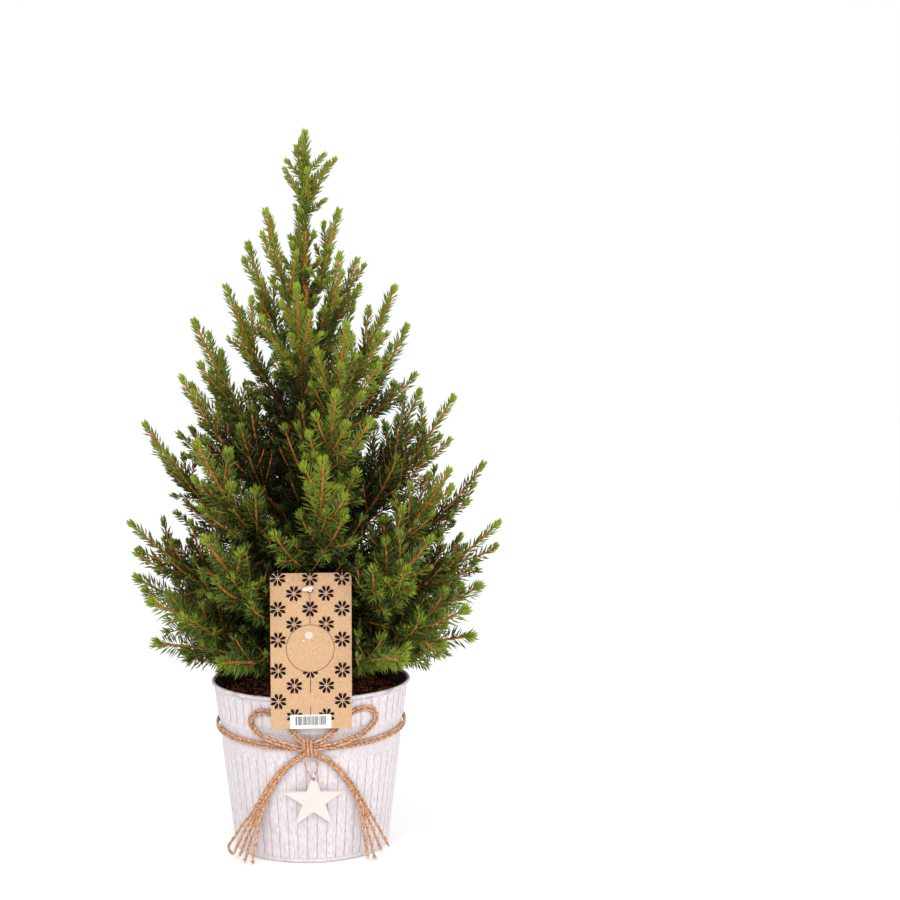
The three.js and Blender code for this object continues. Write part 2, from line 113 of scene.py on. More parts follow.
# %% [markdown]
# ## Small tools
#
# A mesh can be made by Blender's operators or point by point. Foliage has hundreds of thousands of
# points, so everything here goes through one function that hands whole arrays to the mesh at once.

# %% Mesh from arrays


def mesh_piece(name, points, faces, material, smooth=True):
    """A piece from points in metres and faces of three or four corners each."""
    points = np.asarray(points, np.float32).reshape(-1, 3)
    faces = np.asarray(faces, np.int32)
    corners = faces.shape[1]
    data = bpy.data.meshes.new(name)
    data.vertices.add(len(points))
    data.vertices.foreach_set("co", points.ravel())
    data.loops.add(faces.size)
    data.loops.foreach_set("vertex_index", faces.ravel())
    data.polygons.add(len(faces))
    data.polygons.foreach_set("loop_start", np.arange(0, faces.size, corners, dtype=np.int32))
    data.polygons.foreach_set("use_smooth", np.full(len(faces), smooth))
    data.update(calc_edges=True)
    data.materials.append(material)
    piece = bpy.data.objects.new(name, data)
    scene.collection.objects.link(piece)
    print(name, len(faces) * (corners - 2), "triangles")
    return piece


def settle(piece):
    """The piece moves with the one body."""
    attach(piece, "root")
    return piece


# %% [markdown]
# ## The rule that the plant grows by
#
# The solids of the model follow a seeded rule, and the foliage has to grow on from the same limbs.
# Copying its points would be opaque, so the rule itself is written again: the same sizes, the same
# tiers, the same stream of numbers. All of it is in millimetres until the meshes are made.

# %% Sizes of the plant
CLEAR = 0.3
POT_HEIGHT = 120
POT_RIM_RADIUS = 71.5
SOIL_TOP = 110
PLANT_TOP = 509
TRUNK_TOP = 440
TRUNK_FOOT_RADIUS = 6.4
TRUNK_TIP_RADIUS = 1.6
BOUGH_SHARE = 0.32
BOUGH_FOOT = 3.1
BOUGH_TIP = 2.1
FIRST_SEED = 1

# Reach and height of the tips on the left and on the right, bearings of the branches, bare bough
TIERS = [
    ((112, 150), (118, 152), (190, 238, 302, 350, 48, 124), False),
    ((132, 190), (131, 180), (167, 14, 215, 324, 82), True),
    ((129, 236), (137, 234), (188, 352, 238, 306, 112), True),
    ((121, 304), (128, 274), (172, 4, 232, 274, 318), False),
    ((94, 339), (105, 324), (198, 348, 280, 136, 36), False),
    ((83, 378), (72, 374), (176, 8, 290, 100), False),
    ((60, 402), (62, 402), (190, 356, 262, 70), False),
    ((45, 433), (36, 422), (168, 10, 306), False),
    ((34, 455), (24, 457), (206, 24, 104), False),
]
print(len(TIERS), "tiers below the leader")

# %% [markdown]
# Chance is part of the rule, but it has to fall here as it fell in the solids. Python's own random
# module would deal other numbers, so the small generator behind the solids is written again.

# %% Dice


def dice(seed):
    """A stream of numbers from 0 to 1, the same on every run."""
    state = [seed & 0xFFFFFFFF]

    def roll():
        state[0] = (state[0] * 1664525 + 1013904223) & 0xFFFFFFFF
        return state[0] / 4294967296

    roll()
    return roll


def mix(a, b, share):
    """A value between a and b, by a share of the way."""
    return a + (b - a) * share


# %% [markdown]
# ### Trunk and main stems
#
# The trunk sways a little and ends left of the pot's axis. Each branch has one main stem, a smooth
# curve by three points from the skin of the trunk to the tip. Blender's Bezier curves could carry
# them, but every shoot asks for places and headings at given lengths, and a small class answers that
# for a whole array at a time.

# %% Trunk line
TRUNK_FOOT = SOIL_TOP + CLEAR
TRUNK_END_LEFT = 2.5
SWAY_ACROSS = 3.2
SWAY_DEEP = 2.4
FOOT_FORWARD = 0.9
TAPER = 0.9
FLARE = 3.6
FLARE_HEIGHT = 6
UP = np.array([0.0, 0.0, 1.0])
EAST = np.array([1.0, 0.0, 0.0])


def trunk_axis(z):
    """Places on the trunk's middle line at heights z."""
    t = (np.asarray(z, float) - TRUNK_FOOT) / (TRUNK_TOP - TRUNK_FOOT)
    fade = 1 - t
    x = -TRUNK_END_LEFT * t + SWAY_ACROSS * fade * np.sin(7 * t)
    y = SWAY_DEEP * fade * np.sin(5.2 * t + 0.4) - FOOT_FORWARD * fade
    return np.stack([x, y, np.asarray(z, float)], axis=-1)


def trunk_radius(z):
    """Radius of the trunk at heights z, with a small flare at the roots."""
    t = (z - TRUNK_FOOT) / (TRUNK_TOP - TRUNK_FOOT)
    taper = TRUNK_TIP_RADIUS + (TRUNK_FOOT_RADIUS - TRUNK_TIP_RADIUS) * np.clip(1 - t, 0, 1) ** TAPER
    return taper + FLARE * np.exp((TRUNK_FOOT - z) / FLARE_HEIGHT)


print("trunk from", TRUNK_FOOT, "to", TRUNK_TOP, "mm")

# %% Stems
CURVE_STEPS = 201


def unit(v):
    """Vectors of length 1 with the same headings."""
    return v / np.linalg.norm(v, axis=-1, keepdims=True)


class Stem:
    """A smooth stem by three control points, with places measured along its length."""

    def __init__(self, root, middle, tip):
        self.knots = [np.asarray(p, float) for p in (root, middle, tip)]
        self.t = np.linspace(0, 1, CURVE_STEPS)
        steps = np.linalg.norm(np.diff(self.bezier(self.t), axis=0), axis=1)
        self.run = np.concatenate([[0], np.cumsum(steps)])
        self.length = self.run[-1]

    def bezier(self, t):
        t = np.asarray(t, float)[..., None]
        a, b, c = self.knots
        return (1 - t) ** 2 * a + 2 * (1 - t) * t * b + t ** 2 * c

    def at(self, share):
        return self.bezier(np.interp(np.asarray(share, float) * self.length, self.run, self.t))

    def heading(self, share):
        t = np.interp(np.asarray(share, float) * self.length, self.run, self.t)[..., None]
        a, b, c = self.knots
        return unit(2 * (1 - t) * (b - a) + 2 * t * (c - b))


# %% [markdown]
# The tips follow the tiers: on the left one reach and height, on the right another, and between the
# two for a branch that comes forwards or goes back. Low branches arch over the rim, all others leave
# the trunk flat and turn up. High up and at the sides the shoots stand further apart, as the real
# ones do there, so that sky shows between the spears.

# %% Main stems of the branches
ROOT_GAP = 0.15
SHOOT_FOOT = 1.9
TUFT = 3
RISE_LEAST = 16
RISE_FROM = 150
RISE_PER_MM = 0.18
ROOT_LOWEST = 12
STEM_MIDDLE = 0.6
SAG_PER_TIER = 0.1
SAG_MOST = 0.235
SAG_FADING = 0.015
LOW_ARCH = 0.06
THIN_FROM = 4
THINNING = 0.24
SIDE_THINNING = 0.36
LOW_WIDE = 0.8


def branch_stem(left, right, bearing, bough, level):
    """The main stem of one branch of a tier."""
    share = (1 + math.cos(math.radians(bearing))) / 2
    reach, height = mix(left[0], right[0], share), mix(left[1], right[1], share)
    rise = math.radians(RISE_LEAST + RISE_PER_MM * (height - RISE_FROM))
    root_height = max(TRUNK_FOOT + ROOT_LOWEST, height - reach * math.tan(rise))
    outward = np.array([math.cos(math.radians(bearing)), math.sin(math.radians(bearing)), 0])
    tip = outward * reach + UP * height
    root = trunk_axis(root_height)
    slope = unit(tip - root)
    tip = tip - TUFT * slope
    sag = min(SAG_PER_TIER * (level - 1) - LOW_ARCH, SAG_MOST - SAG_FADING * level)
    middle = mix(root, tip, STEM_MIDDLE) - UP * sag * np.linalg.norm(tip - root)
    leaving = unit(middle - root)
    foot_radius = BOUGH_FOOT if bough else SHOOT_FOOT
    root = root + outward * (trunk_radius(root_height) + foot_radius * abs(leaving[2]) + ROOT_GAP)
    return Stem(root, middle, tip)


def spacing(level, bearing):
    """How wide apart the shoots of a branch stand: 1 is the plain rule."""
    low = LOW_WIDE if level < THIN_FROM else 1
    sideways = abs(math.cos(math.radians(bearing))) ** 4 * (level >= THIN_FROM)
    return low + THINNING * max(0, level - THIN_FROM) + SIDE_THINNING * sideways


branches = []
for level, (left, right, bearings, bough) in enumerate(TIERS, start=1):
    for turn, bearing in enumerate(bearings, start=1):
        branches.append({
            "stem": branch_stem(left, right, bearing, bough, level),
            "bough": bough,
            "seed": FIRST_SEED + 100 * level + turn,
            "wide": spacing(level, bearing),
        })
leader_root = trunk_axis(TRUNK_TOP) + UP * CLEAR
leader_tip = np.array([-2.2, 0, PLANT_TOP - 1])
branches.append({
    "stem": Stem(leader_root, (leader_root + leader_tip) / 2, leader_tip),
    "bough": False,
    "seed": FIRST_SEED + 1001,
    "wide": 1,
})
LEADER = len(branches) - 1
for branch in branches:
    branch["path"] = branch["stem"].at(np.linspace(0, 1, 9))
    branch["start"] = BOUGH_SHARE if branch["bough"] else 0
print(len(branches), "branches, the longest", round(max(b["stem"].length for b in branches)), "mm")

# %% [markdown]
# ### Room to grow
#
# Each branch keeps to its own space: the points that lie nearer to its main stem than to any other.
# A shoot that would leave it, or touch the trunk, the pot or the tag, is cut short. One test for a
# whole array of points at a time keeps this quick.

# %% Room to grow
SPACE_MARGIN = 1.2
LOWEST = 124
LOW_FRONT = 0.2
OVER_RIM = 3
ROUND_RIM = 4
TAG_WIDTH = 55
TAG_HEIGHT = 107
TAG_FOOT = 99.5
TAG_FRONT = -72.8
TAG_SIDE_ROOM = 3
TAG_ROOM = 4
STAKE_RADIUS = 1.6
PIN_HEIGHT = 195
ON_TRUNK = -1
FREE_ROOM = 7
starts = np.array([b["path"][:-1] for b in branches])
ends = np.array([b["path"][1:] for b in branches])
stake_stops = np.array([
    (0, -56, 84), (0, -59.5, 125), (-0.3, -63.5, 165), (-0.5, -66, PIN_HEIGHT - 7),
    (-0.6, TAG_FRONT + 3.6, PIN_HEIGHT - 0.6), (-0.6, TAG_FRONT + 0.4, PIN_HEIGHT)])
limbs = [b["stem"].at(np.array([0, 0.5, 1]) * (BOUGH_SHARE - CLEAR / b["stem"].length))
         for b in branches if b["bough"]]


def path_distance(points, begin, finish):
    """Distance from each point to the nearest of a row of straight stretches."""
    run = finish - begin
    share = ((points[:, None] - begin) * run).sum(-1) / (run * run).sum(-1)
    near = begin + np.clip(share, 0, 1)[..., None] * run
    return np.linalg.norm(points[:, None] - near, axis=-1).min(1)


def has_room(points, own, reach, margin):
    """Whether each point lies in the space of branch number own, clear of everything else."""
    z = points[:, 2]
    axis = trunk_axis(np.minimum(z, TRUNK_TOP))
    from_trunk = np.hypot(points[:, 0] - axis[:, 0], points[:, 1] - axis[:, 1])
    ok = (z > TRUNK_TOP + CLEAR) | (from_trunk > trunk_radius(z) + reach)
    off_axis = np.hypot(points[:, 0], points[:, 1])
    ok &= (z > POT_HEIGHT + OVER_RIM) | (off_axis > POT_RIM_RADIUS + ROUND_RIM)
    ok &= z > LOWEST + reach - LOW_FRONT * np.minimum(points[:, 1], 0)
    beside_tag = np.abs(points[:, 0]) < TAG_WIDTH / 2 + TAG_SIDE_ROOM
    below_top = z < TAG_FOOT + TAG_HEIGHT + TAG_ROOM
    ok &= ~(beside_tag & below_top & (points[:, 1] < TAG_FRONT + TAG_ROOM))
    ok &= path_distance(points, stake_stops[:-1], stake_stops[1:]) > STAKE_RADIUS + reach
    for limb in limbs:
        ok &= path_distance(points, limb[:-1], limb[1:]) > BOUGH_FOOT + reach
    if own == ON_TRUNK:
        own_distance = np.full(len(points), FREE_ROOM)
    else:
        own_distance = path_distance(points, starts[own], ends[own]) + margin
    for i in range(len(branches)):
        if i != own:
            ok &= path_distance(points, starts[i], ends[i]) > own_distance
    return ok


print("room for", len(branches), "branches round", len(limbs), "boughs")

# %% [markdown]
# ### Side shoots
#
# A shoot is a stem too: it leaves its parent at a length along it, turned round it by the golden
# angle from the last one, and bends up to the light. These are the side shoots that the solids have.

# %% Shoots and how they are cut
GOLDEN_TURN = 137.5
SIDE_LIFT = 0.8
TESTS = 11
SAFE_TESTS = 3
STEEP = 0.9


def cut_to_room(stem, own, reach, margin=2 * SPACE_MARGIN):
    """The stem, cut short where it runs out of room."""
    steps = stem.at(np.linspace(0, 1, TESTS))
    outside = np.where(~has_room(steps[SAFE_TESTS:], own, reach, margin))[0]
    if len(outside) == 0:
        return stem
    cut = steps[outside[0] + SAFE_TESTS - 1]
    return Stem(stem.knots[0], mix(stem.knots[0], cut, 0.5), cut)


def guide_for(heading):
    """Up, or east where the heading itself is steep."""
    return EAST if abs(heading[2]) > STEEP else UP


def shoot_from(stem, at, turn, lean, reach, flat=0.8, lift=SIDE_LIFT):
    """A side shoot that leaves a stem at a length along it, turned round it and leaning away."""
    share = at / stem.length
    root, along = stem.at(share), stem.heading(share)
    guide = guide_for(along)
    side = unit(guide - along * (guide @ along))
    other = np.cross(along, side)
    away = unit(side * math.sin(math.radians(turn)) * flat + other * math.cos(math.radians(turn)))
    heading = along * math.cos(lean) + away * math.sin(lean)
    middle = root + heading * reach * 0.5
    end = middle + unit(heading + UP * lift) * reach * 0.5
    return Stem(root, middle, end)


def wobble(roll, spread):
    """A little more or less, by half the spread at most."""
    return spread * (roll() - 0.5)


# %% Side shoots as on the solids
SIDE_ANGLE = 34
BARE_END = (32, 44)
SIDE_FIRST = 16
SIDE_FIRST_ON_BOUGH = 7
SIDE_STEP = 14
SIDES_MOST = 5
SIDE_LONGEST = 74
SIDE_SHORTEST = 20
SIDE_HALF_WIDTH = 2.6


def side_shoots(branch, own):
    """The side shoots that the solids have."""
    roll = dice(branch["seed"])
    stem = branch["stem"]
    bare_end = mix(*BARE_END, roll())
    first = branch["start"] * stem.length + (SIDE_FIRST_ON_BOUGH if branch["bough"] else SIDE_FIRST)
    last = stem.length - bare_end
    count = 0 if last < first else min(SIDES_MOST, 1 + int((last - first) // SIDE_STEP))
    turn = 360 * roll()
    found = []
    for i in range(count):
        at = (first if count == 1 else mix(first, last, i / (count - 1))) + wobble(roll, 5)
        turn += GOLDEN_TURN + wobble(roll, 30)
        lean = math.radians(SIDE_ANGLE + wobble(roll, 10))
        reach = min(SIDE_LONGEST, 0.64 * (stem.length - at) + 5) * mix(0.85, 1.1, roll())
        shoot = cut_to_room(shoot_from(stem, at, turn, lean, reach), own, SIDE_HALF_WIDTH)
        if shoot.length > SIDE_SHORTEST:
            found.append(shoot)
    return found


for own, branch in enumerate(branches):
    branch["sides"] = side_shoots(branch, own)
print(sum(len(b["sides"]) for b in branches), "side shoots, as on the solids")

# %% [markdown]
# ### Finer shoots
#
# The solids stop there, with a few thick shoots each. A real branch carries many more, so the same
# rule is run again with closer steps and lengths of its own. Finer shoots stand between the side
# shoots, finest shoots stand on both, and weak filling shoots stand in the shade of each branch. The
# trunk and the leader have thin shoots too, in the room that the branches leave. The crown fills up
# inside without growing past its outline.

# %% Finer shoots
UNEVEN = (0.7, 1.3)
LAST_BARE = 42
FINE_ANGLE = 32
FINE_STEP = 9.5
FINE_SEED = 5000
FINE_LONGEST = 70
FINE_SHORTEST = 9
FINEST_STEP = 8
FINEST_LAST = 26
FINEST_LONGEST = 34
FINEST_SHORTEST = 7
LENGTH_SHARE = 0.62


def finer_shoots(branch, own):
    """Shoots between the side shoots, all the way in to the trunk."""
    roll = dice(branch["seed"] + FINE_SEED)
    stem = branch["stem"]
    turn = 360 * roll()
    at = 9 + 6 * roll()
    found = []
    while at < stem.length - LAST_BARE:
        turn += GOLDEN_TURN + wobble(roll, 36)
        lean = math.radians(FINE_ANGLE + 16 * (roll() - 0.4))
        reach = min(FINE_LONGEST, LENGTH_SHARE * (stem.length - at) + 5) * mix(0.5, 1.0, roll())
        shoot = cut_to_room(shoot_from(stem, at, turn, lean, reach), own, 1.6, 1)
        if shoot.length > FINE_SHORTEST:
            found.append(shoot)
        at += FINE_STEP * branch["wide"] * mix(*UNEVEN, roll())
    return found


def finest_shoots(parent, own, seed, wide):
    """Short shoots to left and right of a side shoot, and now and then above it."""
    roll = dice(seed)
    found = []
    turn = 0 if roll() < 0.5 else 180
    at = 7 + 4 * roll()
    while at < parent.length - FINEST_LAST:
        turn += 180 + 70 * (roll() - 0.35)
        lean = math.radians(FINE_ANGLE + wobble(roll, 14))
        reach = min(FINEST_LONGEST, LENGTH_SHARE * (parent.length - at) + 2) * mix(0.7, 1.05, roll())
        shoot = cut_to_room(shoot_from(parent, at, turn, lean, reach, 0.9, 0.4), own, 1.4, 1)
        if shoot.length > FINEST_SHORTEST:
            found.append(shoot)
        at += FINEST_STEP * wide * mix(*UNEVEN, roll())
    return found


# %% Filling shoots, and those of the leader
FILL_SHARE = 0.7
FILL_STEP = 5.5
FILL_REACH = (14, 32)
FILL_ANGLES = (42, 64)
FILL_SEED = 9000
LEADER_FIRST = 3
LEADER_STEP = 4
LEADER_BARE = 20
LEADER_ANGLE = 24
LEADER_REACH = (8, 20)
LEADER_SEED = 7000


def filling_shoots(parent, own, seed, wide):
    """Short, weak shoots all round the inner part of a branch, in the shade of the others."""
    roll = dice(seed)
    found = []
    turn = 360 * roll()
    at = 4 + 4 * roll()
    while at < FILL_SHARE * parent.length:
        turn += GOLDEN_TURN + wobble(roll, 30)
        lean = math.radians(mix(*FILL_ANGLES, roll()))
        reach = mix(*FILL_REACH, roll())
        shoot = cut_to_room(shoot_from(parent, at, turn, lean, reach, 1, 0.2), own, 1.4, 1)
        if shoot.length > FINEST_SHORTEST:
            found.append(shoot)
        at += FILL_STEP * wide * mix(*UNEVEN, roll())
    return found


def leader_shoots(stem):
    """Short shoots that lie close to the leader and make its brush fuller."""
    roll = dice(FIRST_SEED + LEADER_SEED)
    found = []
    turn = 360 * roll()
    at = LEADER_FIRST
    while at < stem.length - LEADER_BARE:
        turn += GOLDEN_TURN + wobble(roll, 30)
        lean = math.radians(LEADER_ANGLE + wobble(roll, 10))
        reach = mix(*LEADER_REACH, roll()) * mix(1, 0.6, at / stem.length)
        found.append(cut_to_room(shoot_from(stem, at, turn, lean, reach), LEADER, 1.4, 1))
        at += LEADER_STEP * mix(*UNEVEN, roll())
    return found


# %% Shoots of the trunk
TRUNK_STEP = 3.6
TRUNK_REACH = (26, 56)
TRUNK_LOWEST = 140
TRUNK_BARE_TOP = 10
TRUNK_SEED = 8000
SHOOT_OFF_TRUNK = 2.6
BACK_LONGER = 0.6
TRUNK_SHORTEST = 10


def trunk_shoots():
    """Thin shoots of the trunk's own, in the room that the branches leave round it."""
    roll = dice(FIRST_SEED + TRUNK_SEED)
    found = []
    turn = 360 * roll()
    height = TRUNK_LOWEST
    while height < TRUNK_TOP - TRUNK_BARE_TOP:
        turn += math.radians(GOLDEN_TURN + wobble(roll, 40))
        outward = np.array([math.cos(turn), math.sin(turn), 0])
        foot = trunk_axis(height) + outward * (trunk_radius(height) + SHOOT_OFF_TRUNK)
        rise = mix(0.5, 1.1, roll())
        reach = mix(*TRUNK_REACH, roll()) * np.interp(height, [200, 260, 400], [1.25, 1, 0.3])
        reach *= 1 + BACK_LONGER * max(0, math.sin(turn)) * np.interp(height, [280, 340], [1, 0])
        middle = foot + unit(outward + UP * rise) * reach * 0.5
        end = middle + unit(outward + UP * (rise + 0.5)) * reach * 0.5
        shoot = cut_to_room(Stem(foot, middle, end), ON_TRUNK, 1.6)
        if shoot.length > TRUNK_SHORTEST:
            found.append(shoot)
        height += TRUNK_STEP * mix(*UNEVEN, roll())
    return found


# %% [markdown]
# All shoots go into one list, each with the branch it belongs to and its order: 0 for a main stem, 1
# for a shoot on it, 2 for a shoot on a shoot. Twigs and needles are both made from this list.

# %% All shoots
ON_TRUNK_SEED = 9100
FINEST_SEED = 50
shoots = []
for i, stem in enumerate(trunk_shoots()):
    seed = FIRST_SEED * ON_TRUNK_SEED + i
    shoots.append((stem, ON_TRUNK, 1))
    shoots += [(third, ON_TRUNK, 2) for third in finest_shoots(stem, ON_TRUNK, seed, 1)]
print(len(shoots), "shoots on the trunk itself")
shoots += [(stem, LEADER, 2) for stem in leader_shoots(branches[LEADER]["stem"])]
for own, branch in enumerate(branches):
    shoots.append((branch["stem"], own, 0))
    second = branch["sides"] + finer_shoots(branch, own)
    shoots += [(stem, own, 1) for stem in second]
    wide = branch["wide"]
    fillers = filling_shoots(branch["stem"], own, branch["seed"] + FILL_SEED, wide)
    shoots += [(stem, own, 2) for stem in fillers]
    for i, stem in enumerate(second):
        thirds = finest_shoots(stem, own, branch["seed"] * FINEST_SEED + i, wide)
        shoots += [(third, own, 2) for third in thirds]
shoot_metres = sum(stem.length for stem, _, _ in shoots) * MM
print(len(shoots), "shoots,", round(shoot_metres, 1), "m in all")

# %% [markdown]
# ## Finishes of the plant
#
# Needles on a real shoot differ by age: the newest, at the very tip, are lime green. The rest carry
# painted light and shade: one needle green in four steps, lit on the outside and high up, darker the
# deeper in the crown, low down and at the far sides, down to nearly black inside. A gradient texture
# over the crown could fake it, but a pattern drifts on a mesh of many loose needles. So each step is
# a plain finish of its own, and the needles are dealt out to them spray by spray.

# %% Helpers for finishes


def srgb(red, green, blue):
    """A colour given as on a screen, 0 to 255, in the linear values that Blender reckons with."""
    def linear(level):
        level /= 255
        return level / 12.92 if level <= 0.04045 else ((level + 0.055) / 1.055) ** 2.4
    return (linear(red), linear(green), linear(blue), 1)


def new_finish(name, colour, roughness, specular=0.5):
    """A material with one Principled shader, and its nodes at hand."""
    material = bpy.data.materials.new(name)
    material.use_nodes = True
    tree = material.node_tree
    shader = tree.nodes["Principled BSDF"]
    shader.inputs["Base Color"].default_value = colour
    shader.inputs["Roughness"].default_value = roughness
    shader.inputs["Specular IOR Level"].default_value = specular
    return material, tree, shader


def object_noise(tree, scale, detail=2.0, stretch=(1, 1, 1)):
    """Noise on the object's own coordinates, stretched along its axes."""
    where = tree.nodes.new("ShaderNodeTexCoord")
    mapping = tree.nodes.new("ShaderNodeMapping")
    mapping.inputs["Scale"].default_value = stretch
    speckle = tree.nodes.new("ShaderNodeTexNoise")
    speckle.inputs["Scale"].default_value = scale
    speckle.inputs["Detail"].default_value = detail
    tree.links.new(where.outputs["Object"], mapping.inputs["Vector"])
    tree.links.new(mapping.outputs["Vector"], speckle.inputs["Vector"])
    return speckle.outputs["Fac"]


def ramp(tree, factor, stops):
    """A colour ramp on a factor, by (place, colour) stops."""
    node = tree.nodes.new("ShaderNodeValToRGB")
    bands = node.color_ramp.elements
    while len(bands) < len(stops):
        bands.new(0.5)
    for band, (place, colour) in zip(bands, stops):
        band.position = place
        band.color = colour
    tree.links.new(factor, node.inputs["Fac"])
    return node.outputs["Color"]


def range_of(tree, factor, low, high):
    """A factor from 0 to 1 turned into a value from low to high."""
    node = tree.nodes.new("ShaderNodeMapRange")
    node.inputs["To Min"].default_value = low
    node.inputs["To Max"].default_value = high
    tree.links.new(factor, node.inputs["Value"])
    return node.outputs["Result"]


def bump(tree, height, strength, distance):
    """A bump from a height, ready for a shader's Normal."""
    node = tree.nodes.new("ShaderNodeBump")
    node.inputs["Strength"].default_value = strength
    node.inputs["Distance"].default_value = distance
    tree.links.new(height, node.inputs["Height"])
    return node.outputs["Normal"]


# %% Needle finishes
GLOSS_CHANGE = 0.12


def needle_finish(name, colour, roughness):
    """Waxy needles: one plain colour, with a gloss that comes and goes."""
    material, tree, shader = new_finish(name, colour, roughness, 0.15)
    gloss = range_of(tree, object_noise(tree, 140), roughness - GLOSS_CHANGE, roughness + GLOSS_CHANGE)
    tree.links.new(gloss, shader.inputs["Roughness"])
    return material


# Lime for the new growth at the tips; the other four are one needle green painted at four levels of light
# and shade, from lit to deep shade.
NEEDLE_AGES_AND_SHADES = {
    "tip": needle_finish("needles_lime_tip", srgb(142, 160, 50), 0.45),
    "fresh": needle_finish("needles_fresh", srgb(120, 136, 46), 0.46),
    "summer": needle_finish("needles_summer", srgb(91, 108, 38), 0.48),
    "deep": needle_finish("needles_deep_shade", srgb(66, 79, 28), 0.58),
    "inner": needle_finish("needles_inner_shade", srgb(38, 45, 18), 0.6),
}
print(len(NEEDLE_AGES_AND_SHADES), "needle finishes by age and shade")

# %% [markdown]
# Twigs are orange-tan while young and turn brown with age. Their bark is scaly, so the finish mixes
# two browns by a fine noise that also lifts the surface. The trunk is old wood below and young wood
# at its top, so its finish also turns orange-tan with height.

# %% Bark finishes
YOUNG_FROM = 0.24
YOUNG_TO = 0.4


def blend(tree, factor, first, second):
    """Two colours mixed by a factor."""
    node = tree.nodes.new("ShaderNodeMix")
    node.data_type = "RGBA"
    for key, value in (("Factor", factor), ("A", first), ("B", second)):
        socket = [item for item in node.inputs if item.name == key and item.enabled][0]
        if isinstance(value, bpy.types.NodeSocket):
            tree.links.new(value, socket)
        else:
            socket.default_value = value
    return [item for item in node.outputs if item.enabled][0]


def bark_finish(name, light, dark, scale, depth):
    """Two browns mixed by a noise that is drawn out along Z and lifts the surface."""
    material, tree, shader = new_finish(name, light, 0.85, 0.15)
    scales = object_noise(tree, scale, 5, (1, 1, 0.45))
    tree.links.new(ramp(tree, scales, [(0.36, dark), (0.62, light)]), shader.inputs["Base Color"])
    tree.links.new(bump(tree, scales, 0.6, depth), shader.inputs["Normal"])
    return material


twig_young = bark_finish("twig_young", srgb(204, 128, 62), srgb(150, 84, 40), 520, 0.0003)
twig_old = bark_finish("twig_old", srgb(134, 80, 46), srgb(78, 43, 26), 420, 0.0004)
bark = bark_finish("bark_trunk", srgb(150, 112, 76), srgb(74, 50, 34), 260, 0.0008)
tree = bark.node_tree
bark_colour = tree.nodes["Principled BSDF"].inputs["Base Color"]
place = tree.nodes.new("ShaderNodeTexCoord")
height = tree.nodes.new("ShaderNodeSeparateXYZ")
tree.links.new(place.outputs["Object"], height.inputs[0])
youth = tree.nodes.new("ShaderNodeMapRange")
youth.inputs["From Min"].default_value = YOUNG_FROM
youth.inputs["From Max"].default_value = YOUNG_TO
tree.links.new(height.outputs["Z"], youth.inputs["Value"])
old_bark = bark_colour.links[0].from_socket
tree.links.new(blend(tree, youth.outputs["Result"], old_bark, srgb(200, 122, 62)), bark_colour)
print("three barks")

# %% [markdown]
# ## Twigs
#
# Each shoot is a tapering tube of five sides. A curve with a bevel could make one, but there are
# well over a thousand, so the rings of all of them are worked out as arrays and joined: one mesh
# of young wood, one of older wood.

# %% Twig tubes
TWIG_SIDES = 5


def square_to(headings):
    """Two directions square to each of a row of headings."""
    guide = guide_for(headings[0])
    side = unit(guide - headings * (headings @ guide)[:, None])
    return side, np.cross(headings, side)


def tube(centres, radii, sides=TWIG_SIDES):
    """Points and triangles of a closed tapering tube along a row of centres."""
    side, other = square_to(unit(np.gradient(centres, axis=0)))
    angle = 2 * np.pi * np.arange(sides) / sides
    ring = side[:, None] * np.cos(angle)[:, None] + other[:, None] * np.sin(angle)[:, None]
    points = centres[:, None] + ring * np.asarray(radii)[:, None, None]
    rows, j = len(centres), np.arange(sides)
    after = (j + 1) % sides
    low = np.arange(rows - 1)[:, None] * sides
    a, b = (low + j).ravel(), (low + after).ravel()
    walls = np.concatenate([np.stack([a, b, b + sides], 1), np.stack([a, b + sides, a + sides], 1)])
    first, last, top = rows * sides, rows * sides + 1, (rows - 1) * sides
    caps = np.concatenate([np.stack([np.full(sides, first), after, j], 1),
                           np.stack([np.full(sides, last), top + j, top + after], 1)])
    points = np.concatenate([points.reshape(-1, 3), centres[:1], centres[-1:]])
    return points, np.concatenate([walls, caps])


def joined_piece(name, parts, material):
    """One piece from many pairs of points in mm and faces."""
    offsets = np.cumsum([0] + [len(points) for points, _ in parts[:-1]])
    points = np.concatenate([points for points, _ in parts])
    faces = np.concatenate([faces + offset for (_, faces), offset in zip(parts, offsets)])
    return mesh_piece(name, points * MM, faces, material)


# %% Young and old twigs
ROOT_RADIUS = (1.2, 0.75, 0.58)
STOUTER_PER_MM = (0.006, 0.005, 0)
TIP_RADIUS = (0.8, 0.62, 0.48)
RING_STEP = 7
RINGS_LEAST = 4
OLD_SHARE = 0.52
YOUNG_OUTSIDE = 0.6
CONE_HEIGHTS = [120, 500]
CONE_RADII = [110, 10]


def shoot_radius(order, share, length):
    """Radius of a shoot in mm: stout at its root, slim at its tip."""
    root = ROOT_RADIUS[order] + STOUTER_PER_MM[order] * length
    return mix(root, TIP_RADIUS[order], np.asarray(share) ** 0.7)


def add_twig(row, stem, order, begin, finish):
    """A tube along a share of a stem, added to a row of tubes."""
    share = np.linspace(begin, finish, max(RINGS_LEAST, int(stem.length * (finish - begin) / RING_STEP)))
    row.append(tube(stem.at(share), shoot_radius(order, share, stem.length)))


young, old = [], []
for stem, own, order in shoots:
    if order == 0:
        begin = BOUGH_SHARE if branches[own]["bough"] else 0
        add_twig(old, stem, order, begin, OLD_SHARE)
        add_twig(young, stem, order, OLD_SHARE - 0.01, 1)
    else:
        end = stem.at(1)
        outer = np.hypot(*end[:2]) > YOUNG_OUTSIDE * np.interp(end[2], CONE_HEIGHTS, CONE_RADII)
        add_twig(young if outer else old, stem, order, 0, 1)
settle(joined_piece("twigs_young", young, twig_young))
settle(joined_piece("twigs_old", old, twig_old))

